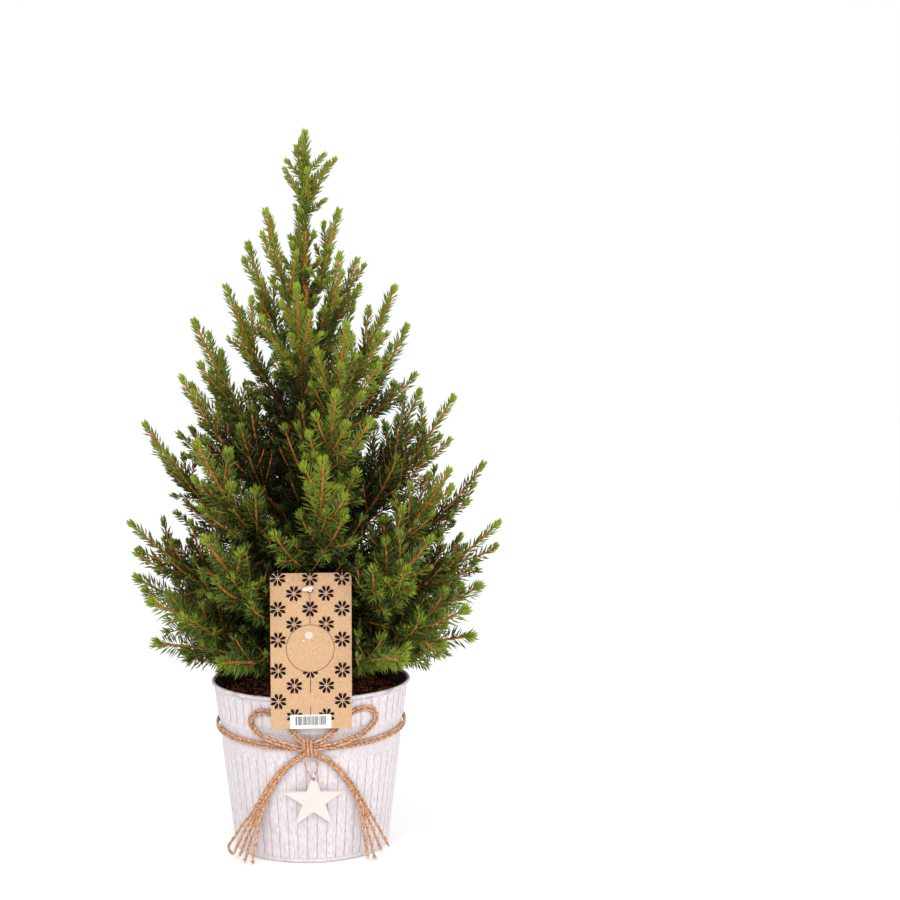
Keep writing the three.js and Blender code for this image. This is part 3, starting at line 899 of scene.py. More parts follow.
# %% [markdown]
# ## Needles
#
# The needles of this spruce are 6 to 11 mm long, four-sided and pointed. They stand all round the
# shoot and close to a tuft at its tip. Low down they stand well off. High up and at the sides they
# are shorter and lean forwards, so the shoots there are slim spears. Instances on a curve would be
# lighter to edit, but they don't survive the export. Each needle here is a slim spindle of six faces,
# and one array calculation places all of them.

# %% Needles of a shoot
NEEDLE_LENGTH = (10.6, 6.6)
NEEDLE_LEAN = (59, 38)
VIGOUR = (1.08, 1.0, 0.88)
SLIM_SPARSE = 0.15
NEEDLE_LOW = 180
NEEDLE_HIGH = 400
TUFT_SHORT = 0.64
TUFT_LEAN = 20
TUFT_CLOSING = 10
TUFT_DEEP = 5.0
TUFT_NEEDLES = (24, 16, 7)
luck = np.random.default_rng(20)


def fade_in(values, start, end):
    """From 0 at the start to 1 at the end, whichever is the higher, and no further."""
    return np.clip((values - start) / (end - start), 0, 1)


def aside(points):
    """From 0 in front and behind to 1 at the far left and right, where the spears are slim."""
    return fade_in(np.abs(points[:, 0]), 40, 85) * fade_in(points[:, 2], 170, 220)


def needles_on(stem, order, density, tufted=True):
    """Root, direction, length, and distance from the tip of each needle on a shoot."""
    density *= 1 - SLIM_SPARSE * aside(stem.at([0.6]))[0]
    even = np.linspace(0, 1, int(stem.length * density)) * stem.length
    tuft = stem.length - TUFT_DEEP * luck.random(TUFT_NEEDLES[order] * tufted) ** 1.3
    along = np.clip(np.concatenate([even + luck.normal(0, 0.5, len(even)), tuft]), 0, stem.length)
    count = len(along)
    share = along / stem.length
    root, heading = stem.at(share), stem.heading(share)
    side, other = square_to(heading)
    turn = np.arange(count) * math.radians(GOLDEN_TURN) + luck.normal(0, 0.35, count)
    away = side * np.cos(turn)[:, None] + other * np.sin(turn)[:, None]
    from_tip = stem.length - along if tufted else np.full(count, stem.length)
    closing = np.clip(1 - from_tip / TUFT_CLOSING, 0, 1)
    slim = np.maximum(fade_in(root[:, 2], NEEDLE_LOW, NEEDLE_HIGH), aside(root))
    lean = np.radians(mix(mix(*NEEDLE_LEAN, slim), TUFT_LEAN, closing) + luck.normal(0, 6, count))
    direction = heading * np.cos(lean)[:, None] + away * np.sin(lean)[:, None]
    direction = unit(direction + UP * 0.08 + luck.normal(0, 0.04, (count, 3)))
    length = mix(*NEEDLE_LENGTH, slim) * VIGOUR[order] * mix(1, TUFT_SHORT, closing)
    length *= luck.normal(1, 0.09, count)
    radius = shoot_radius(order, share, stem.length)
    return root + away * (radius * 0.6)[:, None], direction, length, from_tip


# %% All needles
DENSITY = (2.2, 1.8, 1.6)
CROWDED = 1.4
TRUNK_NEEDLED = 350
trunk_middle = trunk_axis(mix(TRUNK_NEEDLED, TRUNK_TOP, 0.5))
trunk_top = Stem(trunk_axis(TRUNK_NEEDLED), trunk_middle, trunk_axis(TRUNK_TOP))
roots, directions, lengths, tip_distances, deals, ranks = [], [], [], [], [], []
for stem, own, order in shoots + [(trunk_top, None, 0)]:
    density = DENSITY[order] * (CROWDED if own in (None, LEADER) else 1)
    root, direction, length, from_tip = needles_on(stem, order, density, own is not None)
    roots.append(root)
    directions.append(direction)
    lengths.append(length)
    tip_distances.append(from_tip)
    deals.append(np.full(len(root), luck.random()))
    ranks.append(np.full(len(root), order))
root = np.concatenate(roots)
direction = np.concatenate(directions)
length = np.concatenate(lengths)
from_tip = np.concatenate(tip_distances)
deal = np.concatenate(deals)
rank = np.concatenate(ranks)
tip = root + direction * length[:, None]
print(len(root), "needles before the pot, the trunk and the tag take theirs away")

# %% [markdown]
# Needles that would stick into the trunk, the pot's rim or the tag are left out. The rest are dealt to
# the finishes: a tuft at the tip of a lit shoot takes the lime of new growth, and every other needle
# takes a step of painted light and shade, darker the deeper it stands in the crown. Each shoot has some
# luck of its own in this and each needle a little more, so no two sprays match.

# %% Needles that stay
RIM_DROOP = 6
INTO_BARK = 0.9
NEEDLE_ROOM = 1.5
ROOM_ROUND_RIM = 2
ROOM_BEHIND_CARD = 1.6
axis = trunk_axis(np.minimum(tip[:, 2], TRUNK_TOP))
clear_of_trunk = np.hypot(*(tip - axis)[:, :2].T) > trunk_radius(tip[:, 2]) * INTO_BARK
off_axis = np.hypot(tip[:, 0], tip[:, 1])
clear_of_pot = (tip[:, 2] > POT_HEIGHT + NEEDLE_ROOM) | (off_axis > POT_RIM_RADIUS + ROOM_ROUND_RIM)
beside_tag = np.abs(tip[:, 0]) < TAG_WIDTH / 2 + NEEDLE_ROOM
below_top = tip[:, 2] < TAG_FOOT + TAG_HEIGHT + NEEDLE_ROOM
near_tag = beside_tag & below_top & (tip[:, 1] < TAG_FRONT + ROOM_BEHIND_CARD)
above_rim = tip[:, 2] > LOWEST - RIM_DROOP - LOW_FRONT * np.minimum(tip[:, 1], 0)
stays = clear_of_trunk & clear_of_pot & above_rim & ~near_tag
print(int(stays.sum()), "needles stay")

# %% Ages and painted shade of the needles
CROWN_HEIGHTS = [110, 130, 160, 215, 304, 402, 455, 509]
CROWN_RADII = [70, 92, 121, 137, 121, 66, 36, 4]
SHADE_DEPTH = 100
LOW_SHADE = 0.28
HIGH_LIGHT = 0.28
TOP_SHADE = 0.2
ASIDE_SHADE = 0.14
SHOOT_LUCK = 0.3
NEEDLE_LUCK = 0.24
TUFT_LENGTH = (4.6, 3.6, 2)
FRESH_LIT_FROM = 0.82
HALF_SHADE_FROM = 0.6
DEEP_SHADE_FROM = 0.4
TIP_LIT = 0.78
FRESH_LIT = 0.45

deep_inside = np.interp(tip[:, 2], CROWN_HEIGHTS, CROWN_RADII) - off_axis
low = fade_in(tip[:, 2], 200, 110)
high = fade_in(tip[:, 2], 240, 350)
top = fade_in(tip[:, 2], 430, 450)
# Painted shade and light: darker deep in the crown, low down, at the very top and far to the sides;
# lighter high up.
light = 1 - deep_inside / SHADE_DEPTH - LOW_SHADE * low + HIGH_LIGHT * high - TOP_SHADE * top
light -= ASIDE_SHADE * aside(tip)
light += SHOOT_LUCK * (deal - 0.5) + NEEDLE_LUCK * (luck.random(len(light)) - 0.5)
in_tuft = from_tip < np.array(TUFT_LENGTH)[rank]
# The lime tuft of new growth stays only where its shoot is lit; the other four finishes are painted light
# and shade.
age_and_shade = np.select([in_tuft, light > FRESH_LIT_FROM, light > HALF_SHADE_FROM, light > DEEP_SHADE_FROM],
                ["tip", "fresh", "summer", "deep"], "inner")
age_and_shade = np.where((age_and_shade == "tip") & (light < TIP_LIT), "fresh", age_and_shade)
age_and_shade = np.where((age_and_shade == "fresh") & (light < FRESH_LIT), "deep", age_and_shade)
print({name: int((age_and_shade[stays] == name).sum()) for name in NEEDLE_AGES_AND_SHADES})

# %% [markdown]
# A spindle takes five points: the root, three round the thickest place and the tip. Cones with a
# vertex count of their own would be smoother, but a needle is half a millimetre thick. All needles of
# a finish are joined, and cut into pieces where a mesh would get too heavy to export whole.

# %% Needle meshes
PER_PIECE = 33000
NEEDLE_HALF_WIDTH = 0.62
BELLY = 0.5


def needle_mesh(name, chosen, material):
    """A piece of slim six-faced spindles, one for each chosen needle."""
    base, way, size = root[chosen], direction[chosen], length[chosen][:, None]
    guide = np.where(np.abs(way[:, 2:]) > STEEP, EAST, UP)
    side = unit(guide - way * (guide * way).sum(1)[:, None])
    other = np.cross(way, side)
    belly = base + way * size * BELLY
    corners = [base]
    for k in range(3):
        angle = 2 * np.pi * k / 3 + np.pi / 6
        corners.append(belly + (side * math.cos(angle) + other * math.sin(angle)) * NEEDLE_HALF_WIDTH)
    corners.append(base + way * size)
    points = np.stack(corners, axis=1).reshape(-1, 3)
    spindle = np.array([[0, 2, 1], [0, 3, 2], [0, 1, 3], [1, 2, 4], [2, 3, 4], [3, 1, 4]])
    faces = (np.arange(len(base))[:, None, None] * 5 + spindle).reshape(-1, 3)
    return mesh_piece(name, points * MM, faces, material, smooth=False)


needle_pieces = []
for name, material in NEEDLE_AGES_AND_SHADES.items():
    chosen = np.where(stays & (age_and_shade == name))[0]
    for part in range(0, len(chosen), PER_PIECE):
        label = f"needles_{name}_{part // PER_PIECE + 1}"
        needle_pieces.append(needle_mesh(label, chosen[part:part + PER_PIECE], material))
        settle(needle_pieces[-1])
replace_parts(needle_pieces[0], *[name for name in nodes if name.startswith("foliage_")])

# %% [markdown]
# ## Bark
#
# The trunk of a dwarf spruce is thin and scaly, and its lowest boughs are the same wood. A Displace
# modifier on a cylinder would do for one limb, but a few lines of arithmetic serve for all eleven:
# rings of points along each limb, pushed out by a cell pattern so that plates stand between cracks.

# %% Trunk and boughs
LIMB_STEP = 1.3
TRUNK_SIDES = 28
BOUGH_SIDES = 16
PLATE_SIZE = 2.6
PLATE_STRETCH = Vector((1, 1, 0.45))
BARK_DEPTH = 0.55
CRACK_SLOPE = 2.2
BELOW_SKIN = 0.2


def plate_height(point):
    """From -0.5 in a crack between two plates of bark to 0.5 on a plate."""
    near = noise.voronoi(Vector(point) * PLATE_STRETCH / PLATE_SIZE)[0]
    return min(1.0, CRACK_SLOPE * (near[1] - near[0])) - 0.5


def bark_limb(centres, radii, sides):
    """A closed limb with scaly bark."""
    points, faces = tube(centres, radii, sides)
    out = unit(points[:-2] - np.repeat(centres, sides, axis=0))
    relief = np.array([plate_height(point) for point in points[:-2]])
    points[:-2] += out * (relief * BARK_DEPTH)[:, None]
    return points, faces


trunk_heights = np.linspace(TRUNK_FOOT, TRUNK_TOP, int((TRUNK_TOP - TRUNK_FOOT) / LIMB_STEP))
trunk_radii = trunk_radius(trunk_heights) - BELOW_SKIN
trunk_skin = bark_limb(trunk_axis(trunk_heights), trunk_radii, TRUNK_SIDES)
trunk_piece = settle(joined_piece("bark_trunk", [trunk_skin], bark))
bough_skins = []
for branch in branches:
    if branch["bough"]:
        share = np.linspace(0, 1, int(BOUGH_SHARE * branch["stem"].length / LIMB_STEP))
        line = branch["stem"].at(share * BOUGH_SHARE)
        bough_skins.append(bark_limb(line, mix(BOUGH_FOOT, BOUGH_TIP, share), BOUGH_SIDES))
bough_piece = settle(joined_piece("bark_boughs", bough_skins, bark))
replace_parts(trunk_piece, "trunk")
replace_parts(bough_piece, *[name for name in nodes if name.startswith("bough_")])

# %% [markdown]
# ## Geometry Nodes
#
# Flutes, crumbs, twine and the printed stars are each one small thing repeated, or one section carried
# along a line. Copying by hand would fix the number for good; a node tree keeps it as a named input.
# A few helpers follow: they start a tree, put a node in it and end it, make a bare object for it to
# work on, and turn what it makes into a plain mesh.

# %% Helpers for node trees


def new_tree(name, inputs):
    """A node tree for a modifier, with named inputs given as {name: (socket type, value)}."""
    tree = bpy.data.node_groups.new(name, "GeometryNodeTree")
    tree.interface.new_socket("Geometry", in_out="INPUT", socket_type="NodeSocketGeometry")
    for label, (kind, value) in inputs.items():
        socket = tree.interface.new_socket(label, in_out="INPUT", socket_type=kind)
        if value is not None:
            socket.default_value = value
    tree.interface.new_socket("Finish", in_out="INPUT", socket_type="NodeSocketMaterial")
    tree.interface.new_socket("Geometry", in_out="OUTPUT", socket_type="NodeSocketGeometry")
    return tree, tree.nodes.new("NodeGroupInput").outputs


def put(tree, kind, inputs=None, **settings):
    """A node with its settings; an input is given a value, or linked where a socket is given."""
    node = tree.nodes.new(kind)
    for key, value in settings.items():
        setattr(node, key, value)
    for key, value in (inputs or {}).items():
        if isinstance(value, bpy.types.NodeSocket):
            tree.links.new(value, node.inputs[key])
        else:
            node.inputs[key].default_value = value
    return node


def end_tree(tree, given, geometry, smooth):
    """Realize Instances, shading and Set Material, which every tree here ends in."""
    real = put(tree, "GeometryNodeRealizeInstances", {"Geometry": geometry})
    shade = put(tree, "GeometryNodeSetShadeSmooth", {"Geometry": real.outputs[0], "Shade Smooth": smooth})
    finish = put(tree, "GeometryNodeSetMaterial", {
        "Geometry": shade.outputs[0], "Material": given["Finish"]})
    put(tree, "NodeGroupOutput", {"Geometry": finish.outputs[0]})
    print(tree.name, "has", len(tree.nodes), "nodes")


# %% Helpers for hosts and results


def host_mesh(points, edges=(), faces=()):
    """A bare object for a node tree to work on, in metres."""
    data = bpy.data.meshes.new("host")
    data.from_pydata([tuple(point) for point in points], edges, faces)
    host = bpy.data.objects.new("host", data)
    scene.collection.objects.link(host)
    return host


def grown(name, host, tree, sizes, material):
    """The plain mesh that a node tree makes of a host; the host and its modifier are taken away."""
    modifier = host.modifiers.new(tree.name, "NODES")
    modifier.node_group = tree
    given = {"Finish": material, **sizes}
    for item in tree.interface.items_tree:
        if item.in_out == "INPUT" and item.name in given:
            modifier[item.identifier] = given[item.name]
    data = bpy.data.meshes.new_from_object(host.evaluated_get(bpy.context.evaluated_depsgraph_get()))
    data.name = name
    host.modifiers.clear()
    bpy.data.objects.remove(host)
    piece = bpy.data.objects.new(name, data)
    scene.collection.objects.link(piece)
    data.calc_loop_triangles()
    print(name, len(data.loop_triangles), "triangles")
    return piece


# %% [markdown]
# ## The pot
#
# The real pot is pressed from thin zinc sheet: a bead round the foot, a band of flutes, a plain belt
# between two fine beads, a shorter band of flutes and a rim rolled over a wire. Then it is brushed
# with white paint, worn dark in patches on the rolled rim. The grooves between the flutes carry a
# painted shade, a grey line broken by noise. The shell is a profile turned round the axis, like on
# a lathe, with three finishes: outside, rolled rim and inside.

# %% Finishes of the pot
POT_FOOT_RADIUS = 54.3
RIM_ROLL = 2.2
RIB = 0.9
FLUTES = 54


def wall_radius(z):
    """Radius of the pot's plain wall at a height."""
    return POT_FOOT_RADIUS + z * (POT_RIM_RADIUS - RIM_ROLL - POT_FOOT_RADIUS) / POT_HEIGHT


def multiply(tree, first, second):
    """A factor times another factor, or times a plain number."""
    node = tree.nodes.new("ShaderNodeMath")
    node.operation = "MULTIPLY"
    tree.links.new(first, node.inputs[0])
    if isinstance(second, bpy.types.NodeSocket):
        tree.links.new(second, node.inputs[1])
    else:
        node.inputs[1].default_value = second
    return node.outputs[0]


BLACK_STOP = (0, 0, 0, 1)
GREY_STOP = (0.25, 0.25, 0.25, 1)
WHITE_STOP = (1, 1, 1, 1)


def whitewash(name, worn):
    """White paint brushed on zinc. Streaks run down it, and it is thin where it is worn."""
    material, tree, shader = new_finish(name, srgb(220, 213, 216), 0.65, 0.25)
    streaks = object_noise(tree, 800, 4, (1, 1, 0.3))
    paint = ramp(tree, streaks, [
        (0.34, srgb(196, 187, 192)), (0.5, srgb(212, 204, 207)), (0.66, srgb(222, 214, 217))])
    cloud = object_noise(tree, 60, 3, (1, 1, 0.5))
    thin = multiply(tree, ramp(tree, cloud, [(0.46, BLACK_STOP), (0.72, WHITE_STOP)]), 0.4)
    paint = blend(tree, thin, paint, srgb(198, 190, 195))
    # Painted shade: a grey line along the grooves between the flutes, broken by noise.
    groove = tree.nodes.new("ShaderNodeAttribute")
    groove.attribute_name = "edge"
    broken = object_noise(tree, 60, 4, (1, 1, 0.3))
    broken = ramp(tree, broken, [(0.3, GREY_STOP), (0.56, WHITE_STOP)])
    line = ramp(tree, groove.outputs["Fac"], [(0.9, BLACK_STOP), (0.98, WHITE_STOP)])
    paint = blend(tree, multiply(tree, line, broken), paint, srgb(146, 139, 145))
    if worn:
        patches = object_noise(tree, 70, 5, (1, 1, 2))
        patches = ramp(tree, patches, [(0.6, BLACK_STOP), (0.68, WHITE_STOP)])
        paint = blend(tree, multiply(tree, patches, 0.45), paint, srgb(140, 126, 120))
    tree.links.new(paint, shader.inputs["Base Color"])
    tree.links.new(bump(tree, streaks, 0.25, 0.0004), shader.inputs["Normal"])
    return material


zinc = whitewash("whitewash", False)
zinc_rim = whitewash("whitewash_rim", True)
# The inside wall is dark brown, mottled lighter and darker by noise.
zinc_inside, tree, shader = new_finish("zinc_inside", srgb(58, 44, 36), 0.8, 0.1)
inside_mottle = object_noise(tree, 60, 4)
inside_brown = ramp(tree, inside_mottle, [(0.35, srgb(40, 28, 21)), (0.65, srgb(82, 60, 46))])
tree.links.new(inside_brown, shader.inputs["Base Color"])
print("three finishes for the pot")

# %% [markdown]
# The shell is one closed profile: from the axis out under the foot, up the wall, over the roll and
# down inside. A Screw modifier could turn it. A few lines of arithmetic do the same, turn the soil
# later on as well, and know which row of faces gets which finish.

# %% Profiles turned round the axis


def revolve(profile, sides):
    """Points and triangles of a profile of (radius, height) turned round Z, from axis to axis."""
    profile = np.array(profile, float)
    angle = 2 * np.pi * np.arange(sides) / sides
    rings = profile[1:-1]
    points = np.stack([rings[:, :1] * np.cos(angle), rings[:, :1] * np.sin(angle),
                       np.repeat(rings[:, 1:], sides, axis=1)], axis=-1).reshape(-1, 3)
    j = np.arange(sides)
    after = (j + 1) % sides
    low = np.arange(len(rings) - 1)[:, None] * sides
    a, b = (low + j).ravel(), (low + after).ravel()
    walls = np.stack([a, b, b + sides, a, b + sides, a + sides], 1).reshape(-1, 3)
    first, last = len(points), len(points) + 1
    top = (len(rings) - 1) * sides
    caps = np.concatenate([np.stack([np.full(sides, first), after, j], 1),
                           np.stack([np.full(sides, last), top + j, top + after], 1)])
    ends = [(0, 0, profile[0, 1]), (0, 0, profile[-1, 1])]
    return np.concatenate([points, ends]), np.concatenate([walls, caps])


# %% Shell of the pot
POT_SIDES = 162
BEAD = 0.45
BEAD_HALF = 0.9
BEAD_LOW = 77.2
BEAD_HIGH = 94.2
ROLL_RADIUS = 1.3
SHEET = 1.0
BACKING = 0.4
FLOOR_THICK = 1.2


def backed_wall(heights):
    """Profile of the wall behind the flutes, a little proud of the plain wall."""
    return [(wall_radius(z) + BACKING, z) for z in heights]


def bead_at(z):
    """Profile of a fine bead pressed out of the wall."""
    return [(wall_radius(h) + BEAD * (1 - ((h - z) / BEAD_HALF) ** 2), h)
            for h in np.linspace(z - BEAD_HALF, z + BEAD_HALF, 5)]


foot = [(52.9, 0), (54.3, 0.3), (55.2, 1.0), (55.4, 2.0), (55.1, 3.0), (wall_radius(3.9), 3.9)]
outer = foot + backed_wall((5, 20, 35, 50, 65, 75.6)) + bead_at(BEAD_LOW)
outer += [(wall_radius(z), z) for z in (82, 89)] + bead_at(BEAD_HIGH)
outer += backed_wall((96, 105, 114))
roll_centre = (POT_RIM_RADIUS - ROLL_RADIUS, POT_HEIGHT - ROLL_RADIUS)
roll = [(roll_centre[0] + ROLL_RADIUS * math.cos(a), roll_centre[1] + ROLL_RADIUS * math.sin(a))
        for a in np.radians(np.linspace(-100, 195, 15))]
inner_wall = [(wall_radius(z) - SHEET, z) for z in (114.2, 104, 60, FLOOR_THICK)]
shell_profile = [(0, 0)] + outer + roll + inner_wall + [(0, FLOOR_THICK)]
shell_points, shell_faces = revolve(shell_profile, POT_SIDES)
shell = mesh_piece("pot_shell", shell_points * MM, shell_faces, zinc)
shell.data.materials.append(zinc_rim)
shell.data.materials.append(zinc_inside)
rows = [0] * (len(outer) - 1) + [1] * len(roll) + [2] * len(inner_wall)
row_finish = np.repeat(rows, 2 * POT_SIDES)
caps_finish = np.repeat([0, 2], POT_SIDES)
shell.data.polygons.foreach_set("material_index", np.concatenate([row_finish, caps_finish]))
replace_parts(settle(shell), "pot")

# %% [markdown]
# ### Flutes
#
# Fifty-four flutes stand round each band: flat-topped, with a thin groove between them and round
# ends. An Array modifier with an object offset could repeat one. Here one is modelled at the front
# of the pot, and a small node tree sets as many copies round the axis as its input says, each
# turned by its share of the circle. An "edge" value on the points tells the paint where the
# grooves are, and the paint lays a painted shade there.

# %% Flutes round the pot
FLUTE_ROWS = 20
FLUTE_PLACES = (-1, -0.97, -0.88, 0, 0.88, 0.97, 1)
FLUTE_WIDTH = 0.975
FLUTE_SHOULDER = 0.62
FLUTE_CREST = RIB - 0.1
EDGE_SUNK = 0.12
BASE_SUNK = 0.05
END_FULLNESS = 1.3
FLUTE_BANDS = {"flutes_low": (3.6, 75.4), "flutes_high": (95.8, 117.6)}
FOOT_BAND = 9

ring_tree, given = new_tree("set_round_axis", {"Count": ("NodeSocketInt", 12)})
dots = put(ring_tree, "GeometryNodePoints", {"Count": given["Count"]})
index = put(ring_tree, "GeometryNodeInputIndex")
step = put(ring_tree, "ShaderNodeMath", {0: 2 * math.pi, 1: given["Count"]}, operation="DIVIDE")
angle = put(ring_tree, "ShaderNodeMath", {0: index.outputs[0], 1: step.outputs[0]}, operation="MULTIPLY")
turn = put(ring_tree, "ShaderNodeCombineXYZ", {"Z": angle.outputs[0]})
copies = put(ring_tree, "GeometryNodeInstanceOnPoints", {
    "Points": dots.outputs[0], "Instance": given["Geometry"], "Rotation": turn.outputs[0]})
end_tree(ring_tree, given, copies.outputs[0], True)


def flute(low, high):
    """One flute at the front, from a low to a high end, as a host for the tree."""
    half_angle = math.pi / FLUTES * FLUTE_WIDTH
    round_end = wall_radius((low + high) / 2) * half_angle
    points, edge = [], []
    for z in low + (high - low) * (1 - np.cos(np.linspace(0, np.pi, FLUTE_ROWS))) / 2:
        from_end = min(z - low, high - z) if low > FOOT_BAND else high - z
        narrow = math.sqrt(max(0.0, 1 - max(0.0, 1 - from_end / round_end) ** 2))
        for place in FLUTE_PLACES:
            angle = place * narrow * half_angle
            crown = FLUTE_SHOULDER + (FLUTE_CREST - FLUTE_SHOULDER) * (1 - abs(place) ** 6)
            if abs(place) == 1:
                height = -EDGE_SUNK
            else:
                height = crown * min(1.0, narrow * END_FULLNESS) - BASE_SUNK
            radius = wall_radius(z) + height
            points.append((radius * math.sin(angle) * MM, -radius * math.cos(angle) * MM, z * MM))
            edge.append(abs(place))
    across_count = len(FLUTE_PLACES)
    corners = [i * across_count + j for i in range(FLUTE_ROWS - 1) for j in range(across_count - 1)]
    faces = [(k, k + 1, k + across_count + 1, k + across_count) for k in corners]
    host = host_mesh(points, faces=faces)
    host.data.attributes.new("edge", "FLOAT", "POINT").data.foreach_set("value", edge)
    return host


for name, (low, high) in FLUTE_BANDS.items():
    settle(grown(name, flute(low, high), ring_tree, {"Count": FLUTES}, zinc))

# %% [markdown]
# ## Soil
#
# Peat in a nursery pot is a lumpy crust of dark crumbs with chips of bark and coir on top. The crust
# is a profile turned like the pot's, and then roughened by noise.

# %% Crust of the soil
SOIL_EDGE = 66.8
SOIL_DEEP = 100
SOIL_SIDES = 96
SOIL_SUNK = 0.4
LUMP_HEIGHT = 1.5
LUMP_SIZE = 13
CLOD_HEIGHT = 0.9
CLOD_SIZE = 4


def soil_height(x, y):
    """Height of the crust, from two sizes of lump."""
    where = Vector((x, y, 3))
    lumps = LUMP_HEIGHT * noise.noise(where / LUMP_SIZE)
    return SOIL_TOP - SOIL_SUNK + lumps + CLOD_HEIGHT * noise.noise(where / CLOD_SIZE)


def soil_finish(name, light, dark, scale):
    """A mottle of a dark and a light colour, matt and rough."""
    material, tree, shader = new_finish(name, dark, 0.95, 0.15)
    mottle = object_noise(tree, scale, 5)
    tree.links.new(ramp(tree, mottle, [(0.38, dark), (0.66, light)]), shader.inputs["Base Color"])
    tree.links.new(bump(tree, mottle, 0.8, 0.001), shader.inputs["Normal"])
    return material


peat = soil_finish("peat", srgb(74, 46, 34), srgb(20, 11, 7), 420)
bark_chips = soil_finish("bark_chips", srgb(184, 98, 60), srgb(96, 46, 28), 300)
pale_chips = soil_finish("pale_chips", srgb(190, 160, 130), srgb(128, 98, 72), 260)
crust_profile = [(0, SOIL_DEEP), (SOIL_EDGE - 1.3, SOIL_DEEP)]
crust_profile += [(r, SOIL_TOP) for r in np.linspace(SOIL_EDGE, 1.5, 40)] + [(0, SOIL_TOP)]
crust_points, crust_faces = revolve(crust_profile, SOIL_SIDES)
for point in crust_points:
    if point[2] > SOIL_TOP - 1:
        point[2] = soil_height(point[0], point[1])
crust = mesh_piece("soil_crust", crust_points * MM, crust_faces, peat)
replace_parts(settle(crust), "soil")

# %% [markdown]
# Crumbs could be painted on, but at this distance they catch the light one by one. So a tree scatters
# small lumps of twenty faces over the crust: peat, chips of bark, and a few pale bits of coir. Its
# inputs say how many, how large and how flat.

# %% Tree for crumbs
scatter_tree, given = new_tree("scatter_crumbs", {
    "Density": ("NodeSocketFloat", 1000.0), "Size": ("NodeSocketFloat", 0.002),
    "Flatness": ("NodeSocketFloat", 0.5), "Seed": ("NodeSocketInt", 1)})
spread = put(scatter_tree, "GeometryNodeDistributePointsOnFaces", {
    "Mesh": given["Geometry"], "Density": given["Density"], "Seed": given["Seed"]})
crumb = put(scatter_tree, "GeometryNodeMeshIcoSphere", {"Radius": given["Size"], "Subdivisions": 1})
any_turn = put(scatter_tree, "FunctionNodeRandomValue", {
    "Min": (0, 0, 0), "Max": (6.28, 6.28, 6.28), "Seed": given["Seed"]}, data_type="FLOAT_VECTOR")
small = put(scatter_tree, "ShaderNodeCombineXYZ", {"X": 0.35, "Y": 0.3, "Z": given["Flatness"]})
any_size = put(scatter_tree, "FunctionNodeRandomValue", {
    "Min": small.outputs[0], "Max": (1.0, 0.7, 0.5), "Seed": given["Seed"]}, data_type="FLOAT_VECTOR")
crumbs = put(scatter_tree, "GeometryNodeInstanceOnPoints", {
    "Points": spread.outputs["Points"], "Instance": crumb.outputs["Mesh"],
    "Rotation": any_turn.outputs[0], "Scale": any_size.outputs[0]})
end_tree(scatter_tree, given, crumbs.outputs[0], False)

# %% Crumbs and chips
CRUST_INNER = 11
CRUST_OUTER = 63.5
CRUST_RINGS = 22
CRUST_SPOKES = 60
CRUMBS = [
    ("crumbs_peat", 150000, 0.0021, 0.3, 3, peat),
    ("crumbs_bark", 60000, 0.0032, 0.12, 5, bark_chips),
    ("crumbs_pale", 3500, 0.0026, 0.2, 8, pale_chips),
]


def crust_host():
    """The crust between the trunk and the wall, for crumbs to lie on."""
    radii = np.linspace(CRUST_INNER, CRUST_OUTER, CRUST_RINGS)
    angles = 2 * np.pi * np.arange(CRUST_SPOKES) / CRUST_SPOKES
    spots = [(r * math.cos(a), r * math.sin(a)) for r in radii for a in angles]
    points = [(x * MM, y * MM, soil_height(x, y) * MM) for x, y in spots]
    faces = []
    for i in range(CRUST_RINGS - 1):
        for j in range(CRUST_SPOKES):
            near, far, after = CRUST_SPOKES * i, CRUST_SPOKES * (i + 1), (j + 1) % CRUST_SPOKES
            faces.append((near + j, far + j, far + after, near + after))
    return host_mesh(points, faces=faces)


for name, density, size, flatness, seed, material in CRUMBS:
    sizes = {"Density": density, "Size": size, "Flatness": flatness, "Seed": seed}
    settle(grown(name, crust_host(), scatter_tree, sizes, material))

# %% [markdown]
# ## Twine
#
# Jute twine is two plies laid round each other. In the model it is a plain strand; here a tree turns
# any line into real twine: the line is resampled, its tilt grows with its length, and a section of two
# circles is carried along it, so the plies wind round each other by themselves. The lines themselves
# follow the model: two turns round the pot, a bow of doubled loops and two tails that part in strands.

# %% Twine tree
twine_tree, given = new_tree("lay_twine", {
    "Ply Radius": ("NodeSocketFloat", 0.0006), "Ply Offset": ("NodeSocketFloat", 0.0005),
    "Pitch": ("NodeSocketFloat", 0.009), "Step": ("NodeSocketFloat", 0.001)})
line = put(twine_tree, "GeometryNodeMeshToCurve", {"Mesh": given["Geometry"]})
even = put(twine_tree, "GeometryNodeResampleCurve", {
    "Curve": line.outputs[0], "Length": given["Step"]}, mode="LENGTH")
run = put(twine_tree, "GeometryNodeSplineParameter")
laid = put(twine_tree, "ShaderNodeMath", {
    0: run.outputs["Length"], 1: given["Pitch"]}, operation="DIVIDE")
tilt = put(twine_tree, "ShaderNodeMath", {0: laid.outputs[0], 1: 2 * math.pi}, operation="MULTIPLY")
tilted = put(twine_tree, "GeometryNodeSetCurveTilt", {"Curve": even.outputs[0], "Tilt": tilt.outputs[0]})
ply = put(twine_tree, "GeometryNodeCurvePrimitiveCircle", {
    "Resolution": 7, "Radius": given["Ply Radius"]})
both = put(twine_tree, "GeometryNodeJoinGeometry")
for way in (1, -1):
    offset = put(twine_tree, "ShaderNodeMath", {0: given["Ply Offset"], 1: way}, operation="MULTIPLY")
    place = put(twine_tree, "ShaderNodeCombineXYZ", {"X": offset.outputs[0]})
    moved = put(twine_tree, "GeometryNodeTransform", {
        "Geometry": ply.outputs[0], "Translation": place.outputs[0]})
    twine_tree.links.new(moved.outputs[0], both.inputs[0])
skin = put(twine_tree, "GeometryNodeCurveToMesh", {
    "Curve": tilted.outputs[0], "Profile Curve": both.outputs[0], "Fill Caps": True})
